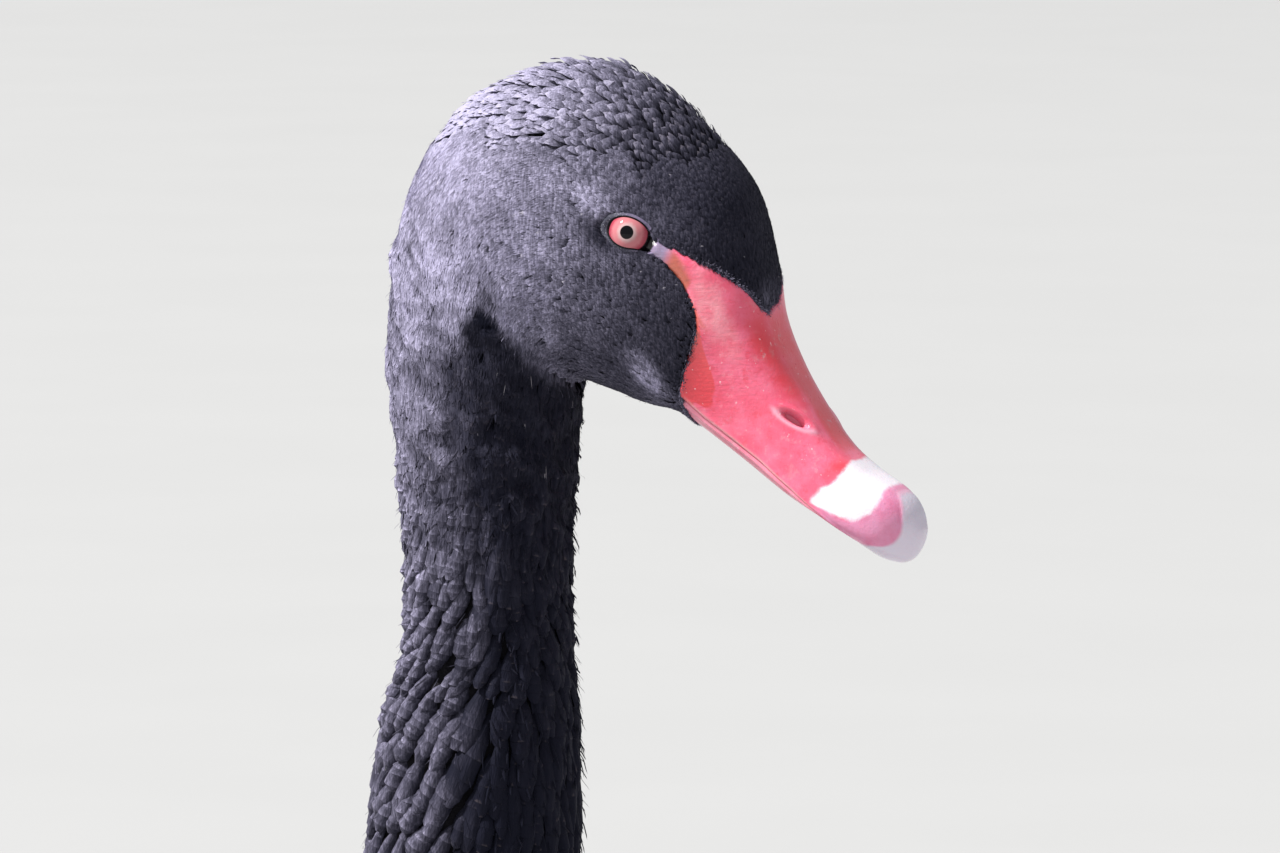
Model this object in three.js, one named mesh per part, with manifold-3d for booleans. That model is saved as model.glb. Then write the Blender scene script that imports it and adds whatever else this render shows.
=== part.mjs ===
// A black swan standing with its neck held straight up, at life size.
// Millimetres. +X is the way it faces, +Y its left side, +Z up, and its feet stand on z = 0.
import * as THREE from 'three';
import { mergeVertices } from 'three/addons/utils/BufferGeometryUtils.js';
import Module from 'manifold-3d';

const wasm = await Module();
wasm.setup();

// Driving sizes
const GAP = 0.3; // left between neighbouring pieces
const AROUND = 22; // facets round the body
const THROAT = { x: 155, z: 880 }; // corner where the throat meets the neck
const EYE = {
  station: 10.3, angle: 73.5, // where it sits in the head's table of sections
  radius: 6.6, sunk: 4.8, // of the ball
  length: 12.6, height: 9.6, tilt: -16, lid: 0.19, // of the opening
};
const NOSTRIL = { station: 4.92, angle: 49.5, length: 8.8, width: 2.4, depth: 2.4, tilt: -41 };
const MANDIBLE_INSET = 0.7; // how far the lower half of the bill lies inside the upper
const LEG = { y: 57, hockX: -34, hockZ: 122, ankleX: -10, ankleZ: 21, turnIn: 6 };
const TOE = {
  inner: 88, middle: 112, outer: 106, hind: 20, // lengths
  spread: 27, height: 11, tipHeight: 5.4, claw: 13, clawRadius: 2.3, web: 2.4,
};
const TAIL = { cutX: -292, fanX: -262, z: 249, droop: 7, halfSpread: 27, roof: 0.14, stack: 0.62 };
const WING = { frontX: 176, coreRearX: -262, rim: 5, depth: 20, rowStep: 60, midlineGap: 3 };
const VANE = { shaft: 1.3, edge: 0.56, sink: 2.6, long: 138, seed: 20 };

const COLOURS = {
  plumage: { color: 0x1d1c22, roughness: 0.85, metalness: 0 },
  wing: { color: 0x24222a, roughness: 0.85, metalness: 0 },
  bill: { color: 0xc8283a, roughness: 0.4, metalness: 0 },
  eye: { color: 0xb8403c, roughness: 0.1, metalness: 0 },
  leg: { color: 0x26262a, roughness: 0.6, metalness: 0 },
};

const rad = THREE.MathUtils.degToRad;
const vector = (x, y, z) => new THREE.Vector3(x, y, z);

// One cross-section of the body: a point on the back and one on the front, the half width,
// where between them it is widest (0 front, 1 back), and how boxy it is (1 is an ellipse).
const section = (backX, backZ, frontX, frontZ, halfWidth, widest = 0.5, boxy = 1) =>
  [backX, backZ, frontX, frontZ, halfWidth, widest, boxy];

// Sections of the bill and head, measured from the throat corner
const HEAD_SECTIONS = [
  section(117.4, -34.8, 111.9, -42.3, 3.5, 0.5, 0.8), // tip of the bill
  section(115, -28.8, 107.3, -41, 8.6, 0.45, 0.75), // nail
  section(110.6, -24.1, 101.9, -37.4, 11.2, 0.4, 0.68),
  section(102.6, -19.2, 94.2, -32.8, 12.2, 0.36, 0.62), // pale band
  section(95.8, -13.3, 83.4, -26.6, 11.9, 0.36, 0.6),
  section(89, -3.9, 71.1, -17.8, 12.2, 0.36, 0.6), // nostril
  section(82.7, 6.2, 60.9, -10.5, 14, 0.38, 0.6), // saddle of the bill
  section(77.8, 17.6, 54.3, -6.4, 16.4, 0.4, 0.64), // bill base
  section(76, 30.5, 47.6, -5.4, 19, 0.42, 0.78), // forehead
  section(71, 49, 41.6, -4.1, 21.6, 0.44, 0.9), // brow
  section(60, 62.8, 35.7, -2.2, 23.5, 0.44),
  section(46.5, 73.6, 30.5, -0.8, 24.3, 0.45), // eye
  section(30.5, 79.3, 27, 0.3, 24.8, 0.46), // crown
  section(14, 77.3, 25, -0.5, 25, 0.48),
  section(-2, 70.2, 24.6, -1.2, 25), // back of the head
  section(-13.5, 58.3, 24.2, -3, 24.6),
  section(-20.6, 43, 23.9, -6, 24.1), // nape
  section(-24, 26, 23.4, -11, 23.6),
  section(-24.5, 8, 22.8, -18, 23), // top of the neck
  section(-23.3, -12, 22.4, -26, 22.4),
  section(-21.7, -34, 21.6, -38, 21.6),
  section(-20.8, -55, 21.3, -56, 21.1),
  section(-21.9, -71, 22.2, -70.5, 22),
  section(-26.3, -84, 23, -82, 24.5),
  section(-28.6, -98, 23.4, -96, 26),
  section(-31.3, -121, 23.3, -119, 27.3),
];
const BROW_STATION = 9;
const NAPE_STATION = 17;

// The round part of the neck: height and centre from the throat corner, and radius
const NECK_RINGS = [
  [-155, -6.5, 29],
  [-200, -8, 31],
  [-250, -7, 33],
  [-300, -2.5, 35.5],
  [-345, 4, 38],
  [-390, 12.5, 42.5],
];
const NECK_CUTS = [-170, -330];

// Sections of the trunk, from the base of the neck to the root of the tail
const TRUNK_SECTIONS = [
  section(123, 446, 229, 428, 54), // base of the neck
  section(112, 417, 248, 375, 72),
  section(92, 402, 257, 315, 88), // breast
  section(55, 397, 240, 255, 100),
  section(5, 391, 195, 205, 108),
  section(-50, 378, 125, 170, 111), // belly
  section(-105, 360, 40, 153, 109),
  section(-160, 338, -50, 153, 101),
  section(-212, 313, -135, 168, 87),
  section(-258, 290, -205, 190, 67), // rump
  section(-295, 272, -262, 212, 47),
  section(-325, 258, -308, 232, 30),
  section(-345, 250, -338, 241, 12),
];

const sections = [
  ...HEAD_SECTIONS.map(([bx, bz, fx, fz, ...rest]) =>
    section(THROAT.x + bx, THROAT.z + bz, THROAT.x + fx, THROAT.z + fz, ...rest)),
  ...NECK_RINGS.map(([z, x, r]) =>
    section(THROAT.x + x - r, THROAT.z + z, THROAT.x + x + r, THROAT.z + z, r)),
  ...TRUNK_SECTIONS,
];
const LAST = sections.length - 1;
const TRUNK_STATION = HEAD_SECTIONS.length + NECK_RINGS.length;

// A smooth row of values between the rows of a table, at a place counted in rows
function between(rows, place) {
  const last = rows.length - 1;
  const i = Math.min(Math.max(Math.floor(place), 0), last - 1);
  const f = place - i;
  const row = (n) => {
    if (n < 0) return rows[0].map((v, k) => 2 * v - rows[1][k]);
    if (n > last) return rows[last].map((v, k) => 2 * v - rows[last - 1][k]);
    return rows[n];
  };
  const [a, b, c, d] = [row(i - 1), row(i), row(i + 1), row(i + 2)];
  const curve = (k) => 0.5 * (2 * b[k] + (c[k] - a[k]) * f
    + (2 * a[k] - 5 * b[k] + 4 * c[k] - d[k]) * f * f
    + (3 * b[k] - a[k] - 3 * c[k] + d[k]) * f * f * f);
  return b.map((_, k) => curve(k));
}

const power = (value, exponent) => Math.sign(value) * Math.abs(value) ** exponent;

// The middle of the body at a station
function core(station) {
  const [bx, bz, fx, fz, , widest] = between(sections, station);
  return vector(fx + (bx - fx) * widest, 0, fz + (bz - fz) * widest);
}

// The outside of the body at a station; the angle runs from the back over the left to the front
function skin(station, angle) {
  const [bx, bz, fx, fz, halfWidth, , boxy] = between(sections, station);
  const middle = core(station);
  const up = Math.cos(angle);
  const end = up > 0 ? vector(bx, 0, bz) : vector(fx, 0, fz);
  const point = middle.clone().lerp(end, Math.abs(up) ** boxy);
  point.y = halfWidth * power(Math.sin(angle), boxy);
  return point;
}

function skinNormal(station, angle) {
  const step = 0.01;
  const along = skin(station + step, angle).sub(skin(station - step, angle));
  const across = skin(station, angle + step).sub(skin(station, angle - step));
  const normal = along.cross(across).normalize();
  return normal.dot(skin(station, angle).sub(core(station))) < 0 ? normal.negate() : normal;
}

// From a closed three.js geometry to a solid and back
function toSolid(geometry) {
  const plain = geometry.index ? geometry.clone() : geometry;
  plain.deleteAttribute('normal');
  plain.deleteAttribute('uv');
  const merged = mergeVertices(plain, 1e-4);
  const vertProperties = new Float32Array(merged.attributes.position.array);
  const triVerts = new Uint32Array(merged.index.array);
  const solid = new wasm.Manifold(new wasm.Mesh({ numProp: 3, vertProperties, triVerts }));
  if (solid.volume() > 0) return solid;
  for (let i = 0; i < triVerts.length; i += 3) {
    [triVerts[i + 1], triVerts[i + 2]] = [triVerts[i + 2], triVerts[i + 1]];
  }
  return new wasm.Manifold(new wasm.Mesh({ numProp: 3, vertProperties, triVerts }));
}

function toGeometry(solid) {
  const mesh = solid.getMesh();
  const geometry = new THREE.BufferGeometry();
  geometry.setAttribute('position', new THREE.BufferAttribute(mesh.vertProperties.slice(), 3));
  geometry.setIndex(new THREE.BufferAttribute(mesh.triVerts.slice(), 1));
  geometry.computeVertexNormals();
  return geometry;
}

// Chance values between two limits, the same on each run
function chance(seed) {
  let state = seed;
  return (low, high) => {
    state = (Math.imul(state, 1664525) + 1013904223) >>> 0;
    return low + (high - low) * (state / 2 ** 32);
  };
}

const largest = (solid) => solid.decompose().sort((a, b) => b.volume() - a.volume())[0];

const join = (solids) => solids.reduce((whole, next) => whole.add(next));

// Bends a geometry by moving each of its points
function bend(geometry, place) {
  const points = geometry.attributes.position;
  const from = new THREE.Vector3();
  for (let i = 0; i < points.count; i += 1) {
    const to = place(from.fromBufferAttribute(points, i));
    points.setXYZ(i, to.x, to.y, to.z);
  }
  return geometry;
}

// A closed tube whose rings are placed by ring(share of the length, angle, share of the radius)
function tube(sides, rings, ring) {
  const cylinder = new THREE.CylinderGeometry(1, 1, 1, sides, rings);
  return toSolid(bend(cylinder, (p) => ring(0.5 - p.y, Math.atan2(p.x, p.z), Math.hypot(p.x, p.z))));
}

// The whole body from bill to tail root, grown by an allowance
function body(allowance) {
  const stations = [];
  for (let i = 0; i < LAST; i += 1) {
    stations.push(i);
    const round = (i >= BROW_STATION && i < NAPE_STATION) || i >= TRUNK_STATION - 1;
    if (round) stations.push(i + 0.5);
  }
  stations.push(LAST);
  return tube(AROUND, stations.length - 1, (along, angle, reach) => {
    const station = stations[Math.round(along * (stations.length - 1))];
    const middle = core(station);
    const out = skin(station, angle).sub(middle);
    return middle.add(out.setLength((out.length() + allowance) * reach));
  });
}

// A block that covers everything on the far side of a plane
function beyond(point, direction, clearance = 0) {
  const size = 3000;
  const block = new THREE.BoxGeometry(size, size, size);
  block.translate(0, 0, size / 2 + clearance);
  const turn = new THREE.Quaternion().setFromUnitVectors(vector(0, 0, 1), direction.clone().normalize());
  block.applyQuaternion(turn);
  block.translate(point.x, point.y, point.z);
  return toSolid(block);
}

// Parts a solid at a plane with a thin cut: first the side that the direction points to
function part(solid, point, direction) {
  return [
    solid.subtract(beyond(point, direction.clone().negate(), -GAP / 2)),
    solid.subtract(beyond(point, direction, -GAP / 2)),
  ];
}

// A block across the whole width whose side view is an outline, grown by an allowance
function acrossBlock(outline, allowance = 0) {
  const points = outline.map(([x, z]) => new THREE.Vector2(x, z));
  if (THREE.ShapeUtils.isClockWise(points)) points.reverse();
  const grown = points.map((p, i) => {
    const before = p.clone().sub(points[(i + points.length - 1) % points.length]).normalize();
    const after = points[(i + 1) % points.length].clone().sub(p).normalize();
    const out = new THREE.Vector2(before.y + after.y, -before.x - after.x).normalize();
    const miter = Math.max(out.dot(new THREE.Vector2(after.y, -after.x)), 0.4);
    return p.clone().addScaledVector(out, allowance / miter);
  });
  const halfWidth = 60;
  const block = new THREE.ExtrudeGeometry(new THREE.Shape(grown), {
    depth: 2 * halfWidth, bevelEnabled: false,
  });
  block.translate(THROAT.x, THROAT.z, -halfWidth);
  block.rotateX(Math.PI / 2);
  return toSolid(block);
}

// Side view of all that is bare: in front of the feathers' edge, from the widow's peak on the
// culmen back to the corner of the eye, round the cheek to the gape and down the chin
const FEATHER_EDGE = [
  [88, 14], [76.4, 18.6], [74.4, 23.5], [69.5, 28.3], [62.6, 32.9], [56.6, 35.4],
  [57.6, 30.6], [61.2, 25.4], [63.3, 19.6], [63.4, 13], [61.4, 6.8], [58.6, 0.4], [58.4, -4.6],
  [50, -12], [70, -60], [130, -60], [130, 14],
];

// Side view of the lower half of the bill, under the line of the mouth
const MOUTH_LINE = [
  [56, 3.4], [62.3, -6.2], [72.8, -15.2], [79.2, -20.3], [88.5, -26.8], [98, -32.5], [103.6, -37.2],
  [105, -42], [100, -60], [50, -60], [40, -10],
];

// Points round the eye: its middle, the way it looks, and its long and short way
function eyeFrame(side) {
  const angle = side * rad(EYE.angle);
  const out = skinNormal(EYE.station, angle);
  const long = vector(Math.cos(rad(EYE.tilt)), 0, Math.sin(rad(EYE.tilt)));
  long.addScaledVector(out, -long.dot(out)).normalize();
  const short = out.clone().cross(long);
  const rim = skin(EYE.station, angle);
  return { out, long, short, rim, centre: rim.clone().addScaledVector(out, -EYE.sunk) };
}

function eyeball(side, allowance = 0) {
  const { out, long, short, centre } = eyeFrame(side);
  const ball = new THREE.SphereGeometry(EYE.radius + allowance, 12, 8);
  ball.rotateX(Math.PI / 2);
  ball.applyMatrix4(new THREE.Matrix4().makeBasis(long, short, out).setPosition(centre));
  return toSolid(ball);
}

// The rim of both lids, an oval ring that stands a little proud of the cheek
function lids(side) {
  const { out, long, short, rim } = eyeFrame(side);
  const ring = new THREE.TorusGeometry(1, EYE.lid, 5, 16);
  ring.scale(EYE.length / 2, EYE.height / 2, EYE.height / 2);
  ring.applyMatrix4(new THREE.Matrix4().makeBasis(long, short, out).setPosition(rim));
  return toSolid(ring);
}

function nostril(side) {
  const angle = side * rad(NOSTRIL.angle);
  const out = skinNormal(NOSTRIL.station, angle);
  const long = vector(Math.cos(rad(NOSTRIL.tilt)), 0, Math.sin(rad(NOSTRIL.tilt)));
  long.addScaledVector(out, -long.dot(out)).normalize();
  const slot = new THREE.SphereGeometry(1, 10, 6);
  slot.scale(NOSTRIL.length / 2, NOSTRIL.width / 2, NOSTRIL.depth);
  const place = new THREE.Matrix4().makeBasis(long, out.clone().cross(long), out);
  slot.applyMatrix4(place.setPosition(skin(NOSTRIL.station, angle)));
  return toSolid(slot);
}

// A thin closed plate of two faces with the same triangles, placed by
// place(across from -1 to 1, along from 0 to 1, face 1 or -1)
function plate(columns, rows, place) {
  const sheet = new THREE.PlaneGeometry(2, 1, columns, rows);
  const flat = sheet.attributes.position;
  const count = flat.count;
  const positions = [];
  for (const face of [1, -1]) {
    for (let i = 0; i < count; i += 1) {
      positions.push(...place(flat.getX(i), 0.5 - flat.getY(i), face).toArray());
    }
  }
  const rim = [];
  const at = (column, row) => row * (columns + 1) + column;
  for (let row = 0; row < rows; row += 1) rim.push(at(0, row));
  for (let column = 0; column < columns; column += 1) rim.push(at(column, rows));
  for (let row = rows; row > 0; row -= 1) rim.push(at(columns, row));
  for (let column = columns; column > 0; column -= 1) rim.push(at(column, 0));
  const faces = Array.from(sheet.index.array);
  for (let i = faces.length - 3; i >= 0; i -= 3) {
    faces.push(faces[i] + count, faces[i + 2] + count, faces[i + 1] + count);
  }
  rim.forEach((a, i) => {
    const b = rim[(i + 1) % rim.length];
    faces.push(b, a, a + count, b, a + count, b + count);
  });
  const geometry = new THREE.BufferGeometry();
  geometry.setAttribute('position', new THREE.Float32BufferAttribute(positions, 3));
  geometry.setIndex(faces);
  return toSolid(geometry);
}

// A feather: a rounded vane, thickest along its shaft, that rises from its sunk root. It is laid
// by lay(run from the root, offset to one side, lift). Tilt raises one edge over the neighbour,
// and curl turns that edge up towards the tip and crimps it.
function vane(lay, feather) {
  const { length, width, sink = VANE.sink, rise = 7, tilt = 1.2, curl = 0 } = feather;
  const steps = length > VANE.long ? 4 : 3;
  return plate(2, steps, (across, along, face) => {
    const half = 0.5 * width * Math.sqrt(Math.sin(Math.PI * (0.1 + 0.81 * along)));
    const run = length * along * (1 - 0.13 * across * across);
    const thickness = across === 0 ? VANE.shaft : VANE.edge;
    const free = Math.max(across, 0) * along * curl * (1 + 0.4 * Math.sin(9 * along + width));
    const lift = rise * along - sink + tilt * across + free;
    return lay(run, half * across, lift + 0.5 * face * thickness * (1 - 0.35 * along));
  });
}

// A row of feathers, each made from its share of the way along the row
const feathers = (count, make) =>
  Array.from({ length: count }, (_, i) => make(count > 1 ? i / (count - 1) : 0.5));

// The folded wings lie on a hull round the trunk. Rows every 60 mm from the front to the tail:
// height of its middle, half height, half width, upper and lower edge as angles from the top
const HULL_ROWS = [
  [300, 92, 96, 58, 112],
  [289, 116, 113, 38, 120],
  [281, 125, 121, 23, 122],
  [273, 126, 122, 15, 121],
  [268, 119, 118, 12, 118],
  [266, 104, 110, 10, 115],
  [267, 84, 97, 9, 110],
  [269, 60, 79, 9, 105],
  [269, 38, 56, 12, 98],
  [267, 22, 34, 25, 88],
  [263, 12, 20, 40, 80],
];
const HULL_START = 3 * WING.rowStep;

const hullRow = (x) => between(HULL_ROWS, (HULL_START - x) / WING.rowStep);

// A point of the hull of one side, lifted off it
function hull(side, x, angle, lift) {
  const [middleZ, halfHeight, halfWidth] = hullRow(x);
  const out = new THREE.Vector2(Math.sin(angle) / halfWidth, Math.cos(angle) / halfHeight);
  out.setLength(lift);
  const y = Math.max(halfWidth * Math.sin(angle) + out.x, WING.midlineGap);
  return vector(x, side * y, middleZ + halfHeight * Math.cos(angle) + out.y);
}

// The bulk of a folded wing under its feathers, from the wrist at the breast back
function wingCore(side) {
  return tube(14, 8, (along, turn, reach) => {
    const x = THREE.MathUtils.lerp(WING.frontX, WING.coreRearX, along);
    const [, , , upper, lower] = hullRow(x);
    const outer = Math.cos(turn) > 0;
    const across = 0.5 + 0.5 * Math.sin(turn) * reach;
    const angle = rad(THREE.MathUtils.lerp(upper, lower, across));
    const end = Math.min(along / 0.06, (1 - along) / 0.2, 1);
    const rim = Math.abs(Math.cos(turn)) ** 0.5 * Math.sqrt(end) * reach;
    return hull(side, x, angle, outer ? WING.rim * (rim - 1) : -WING.rim - WING.depth * rim);
  });
}

// Rows of feathers on a folded wing, from the wrist back: how many, where the first and the last
// are rooted (x, and degrees from the top), their length and width, and how they rise and curl
const WING_ROWS = [
  { count: 4, x: [148, 140], angle: [56, 106], length: 66, width: 44 }, // lesser coverts
  { count: 5, x: [106, 104], angle: [48, 114], length: 80, width: 47 }, // median coverts
  { count: 6, x: [48, 52], angle: [50, 117], length: 96, width: 42 }, // greater coverts
  { count: 6, x: [-22, -12], angle: [57, 111], length: 134, width: 38, tilt: 1.8 }, // secondaries
  { count: 4, x: [-168, -150], angle: [76, 98], length: 186, width: 26, stack: 5.2, rise: 5 }, // primaries
  { count: 3, x: [112, 58], angle: [38, 27], length: 108, width: 54, rise: 10 }, // front scapulars
  { count: 4, x: [24, -45], angle: [33, 23], length: 128, width: 54, rise: 11 }, // rear scapulars
  // the ruffled tertials, in two tiers
  { count: 4, x: [-66, -90], angle: [22, 53], length: 150, width: 46, tilt: 2.6, rise: 13, curl: 8 },
  { count: 4, x: [-158, -176], angle: [20, 58], length: 150, width: 42, tilt: 2.8, rise: 11, curl: 10 },
];

function wingFeathers(side) {
  const random = chance(VANE.seed + side);
  return WING_ROWS.flatMap((row) => feathers(row.count, (share) => {
    const rootX = THREE.MathUtils.lerp(...row.x, share) + random(-4, 4);
    const rootAngle = rad(THREE.MathUtils.lerp(...row.angle, share) + random(-1, 1));
    const drift = rad(random(-3, 3));
    const lay = (run, offset, lift) => {
      const x = rootX - run * Math.cos(drift);
      const [, halfHeight, halfWidth] = hullRow(x);
      const girth = (halfHeight + halfWidth) / 2;
      return hull(side, x, rootAngle + (run * Math.sin(drift) + offset) / girth, lift);
    };
    const length = row.length * random(0.93, 1.07);
    const sink = VANE.sink + (row.stack || 0) * share;
    return vane(lay, { ...row, length, sink });
  }));
}

function wing(side, trunk) {
  return largest(join([wingCore(side), ...wingFeathers(side)]).subtract(trunk));
}

// Rows of tail feathers: how many, the half angle of their fan, where they start and how long
// they are, and how high over or under the quills they lie
const TAIL_ROWS = [
  { count: 12, spread: 1, start: 44, length: 102, width: 29, height: 2, rise: 0 }, // quills
  { count: 5, spread: 1.1, start: 48, length: 60, width: 36, height: 10, rise: 1 }, // upper coverts
  { count: 5, spread: 1, start: 48, length: 72, width: 34, height: -9, rise: -1 }, // under coverts
];

// The tail's fan spreads from a point inside the rump, with its middle feathers uppermost
function tail(root) {
  const random = chance(VANE.seed);
  const quills = TAIL_ROWS.flatMap((row) => feathers(row.count, (share) => {
    const out = 2 * share - 1;
    const direction = rad(TAIL.halfSpread) * row.spread * out;
    const stack = row.height - TAIL.stack * row.count * Math.abs(out);
    const length = row.length * (1 - 0.06 * out * out) * random(0.97, 1.03);
    const lay = (run, offset, lift) => {
      const reach = row.start + run;
      const x = TAIL.fanX - reach * Math.cos(direction) - offset * Math.sin(direction);
      const y = reach * Math.sin(direction) - offset * Math.cos(direction);
      const z = TAIL.z - (TAIL.cutX - x) * Math.sin(rad(TAIL.droop)) - TAIL.roof * Math.abs(y);
      return vector(x, y, z + stack + lift);
    };
    return vane(lay, { ...row, length, sink: 0, tilt: -Math.sign(out) });
  }));
  return largest(join([root, ...quills]));
}

// A limb of one side through level oval rings. Rows: x, z, half length, half width
function limb(side, sides, rings) {
  const last = rings.length - 1;
  return tube(sides, last, (along, turn, reach) => {
    const [x, z, length, width] = between(rings, along * last);
    const y = LEG.y + width * Math.sin(turn) * reach;
    return vector(x + length * Math.cos(turn) * reach, side * y, z);
  });
}

// The feathered thigh narrows down to the hock
function thigh(side, trunk) {
  const rows = [
    [LEG.hockX + 44, 236, 66, 34],
    [LEG.hockX + 38, 204, 62, 33],
    [LEG.hockX + 28, 172, 50, 28],
    [LEG.hockX + 12, 144, 30, 19],
    [LEG.hockX + 1, LEG.hockZ + GAP, 13, 10.5],
  ];
  return largest(limb(side, 16, rows).subtract(trunk));
}

// The bare shank from the hock to the ankle. Rows: share of the way down, half length, half width
function shank(side) {
  const run = LEG.ankleX - LEG.hockX;
  const drop = LEG.hockZ - LEG.ankleZ;
  const rows = [
    [0, 9.5, 8],
    [0.12, 11, 8.5],
    [0.28, 8, 6],
    [0.6, 7, 5],
    [0.88, 7.6, 6],
    [1, 8.6, 7.2],
  ];
  return limb(side, 10, rows.map(([down, length, width]) =>
    [LEG.hockX + run * down, LEG.hockZ - drop * down, length, width]));
}

// A toe from its root along +X: knuckles, a flat sole and a claw that bends down to the floor
function toe(length, knuckles) {
  const rings = 2 * knuckles;
  const bone = tube(7, rings, (along, turn, reach) => {
    const knuckle = 1 + 0.16 * Math.cos(along * knuckles * 2 * Math.PI);
    const size = THREE.MathUtils.lerp(TOE.height, TOE.tipHeight, along) * knuckle;
    return vector(along * length, 0.5 * size * Math.sin(turn) * reach,
      0.42 * size + 0.5 * size * Math.cos(turn) * reach);
  });
  const claw = tube(5, 3, (along, turn, reach) => {
    const size = TOE.clawRadius * (1 - 0.85 * along);
    const height = 2.6 + 1.4 * Math.sin(Math.PI * along) - 1.6 * along;
    const root = length - 2;
    return vector(THREE.MathUtils.lerp(root, length + TOE.claw, along),
      size * Math.sin(turn) * reach, height + size * Math.cos(turn) * reach);
  });
  return bone.add(claw);
}

// A webbed foot: three front toes, the web between them, the short hind toe and the ankle
function foot(side) {
  const spread = rad(TOE.spread);
  const turned = (solid, angle) => solid.rotate([0, 0, THREE.MathUtils.radToDeg(angle)]);
  const toes = [
    [TOE.inner, 3, -spread],
    [TOE.middle, 4, 0],
    [TOE.outer, 4, spread],
  ];
  const solids = toes.map(([length, knuckles, angle]) => turned(toe(length, knuckles), angle));
  const tips = toes.map(([length, , angle]) => new THREE.Vector2(length - 5, 0).rotateAround(
    new THREE.Vector2(), angle));
  const web = new THREE.Shape([new THREE.Vector2(-2, 0)]);
  web.lineTo(tips[0].x, tips[0].y);
  for (const [from, to] of [[tips[0], tips[1]], [tips[1], tips[2]]]) {
    const sag = from.clone().add(to).multiplyScalar(0.5).multiplyScalar(0.87);
    web.quadraticCurveTo(sag.x, sag.y, to.x, to.y);
  }
  solids.push(toSolid(new THREE.ExtrudeGeometry(web, {
    depth: TOE.web, bevelEnabled: false, curveSegments: 4,
  })));
  const hind = turned(toe(TOE.hind, 1), Math.PI + rad(14)).translate([-4, 0, 0]);
  const ankle = tube(10, 2, (along, turn, reach) => vector(
    -along * 3 + (8.6 + 2 * along) * Math.cos(turn) * reach,
    (7.2 + 2.4 * along) * Math.sin(turn) * reach,
    (LEG.ankleZ - GAP) * (1 - along)));
  const whole = join([...solids, hind, ankle]);
  const outward = whole.rotate([0, 0, -LEG.turnIn]);
  const mirrored = side > 0 ? outward : outward.mirror([0, 1, 0]);
  const placed = mirrored.translate([LEG.ankleX, side * LEG.y, 0]);
  return largest(placed.subtract(beyond(vector(0, 0, 0), vector(0, 0, -1))));
}

// The swan
const group = new THREE.Group();

function add(name, solid, finish) {
  const mesh = new THREE.Mesh(toGeometry(solid), new THREE.MeshStandardMaterial(COLOURS[finish]));
  mesh.name = name;
  group.add(mesh);
}

const SIDES = { left: 1, right: -1 };
const trunkGrown = body(1.5 * GAP);
const tailPlane = [vector(TAIL.cutX, 0, TAIL.z), vector(1, 0, 0)];

// Parts of the body, from the front back
const napePoint = core(NAPE_STATION);
const napeWay = skin(NAPE_STATION, 0).sub(skin(NAPE_STATION, Math.PI)).normalize();
const [headAndBill, belowHead] = part(body(0), napePoint, vector(napeWay.z, 0, -napeWay.x));
const neckPoints = NECK_CUTS.map((z) => vector(THROAT.x, 0, THROAT.z + z));
const [neckUpper, belowUpper] = part(belowHead, neckPoints[0], vector(0, 0, 1));
const [neckMiddle, belowMiddle] = part(belowUpper, neckPoints[1], vector(0, 0, 1));
const trunkPoint = core(TRUNK_STATION);
const trunkWay = skin(TRUNK_STATION, 0).sub(skin(TRUNK_STATION, Math.PI)).normalize();
const trunkPlane = [trunkPoint, vector(trunkWay.z, 0, -trunkWay.x)];
const [neckLower, trunkAndTail] = part(belowMiddle, ...trunkPlane);
const [trunk, tailRoot] = part(trunkAndTail, ...tailPlane);

const bill = headAndBill.intersect(acrossBlock(FEATHER_EDGE));
let head = headAndBill.subtract(acrossBlock(FEATHER_EDGE, GAP));
let billUpper = bill.subtract(acrossBlock(MOUTH_LINE, GAP));
const billLower = bill.intersect(acrossBlock(MOUTH_LINE)).intersect(body(-MANDIBLE_INSET));
for (const side of Object.values(SIDES)) {
  head = head.add(lids(side)).subtract(eyeball(side, GAP));
  billUpper = billUpper.subtract(nostril(side));
}

add('head', largest(head), 'plumage');
add('bill_upper', largest(billUpper), 'bill');
add('bill_lower', largest(billLower), 'bill');
add('neck_upper', neckUpper, 'plumage');
add('neck_middle', neckMiddle, 'plumage');
add('neck_lower', neckLower, 'plumage');
add('torso', trunk, 'plumage');
add('tail', tail(tailRoot), 'wing');
for (const [name, side] of Object.entries(SIDES)) {
  add(`eye_${name}`, eyeball(side), 'eye');
  add(`wing_${name}`, wing(side, trunkGrown), 'wing');
  add(`thigh_${name}`, thigh(side, trunkGrown), 'plumage');
  add(`shank_${name}`, shank(side), 'leg');
  add(`foot_${name}`, foot(side), 'leg');
}

// The origin lies under the middle of the swan, on the floor
const box = new THREE.Box3().setFromObject(group);
const middle = box.getCenter(new THREE.Vector3());
group.position.set(-middle.x, -middle.y, -box.min.z);

export default group;
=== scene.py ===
"""A standing black swan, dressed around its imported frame.

Metres. +X is the way it faces, +Y its left side, +Z up, and its feet stand on z = 0.
Tables of its shape are in millimetres: those of head and neck count from the throat corner, and
those of trunk, wings, tail and legs from the floor under the bird's middle. A station counts the
sections of the body from the bill to the tail, and an angle runs from the back over the left side
to the front; formulas call them t and a.
"""

import math

import bpy
import numpy as np
from mathutils import Matrix, Vector


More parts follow.
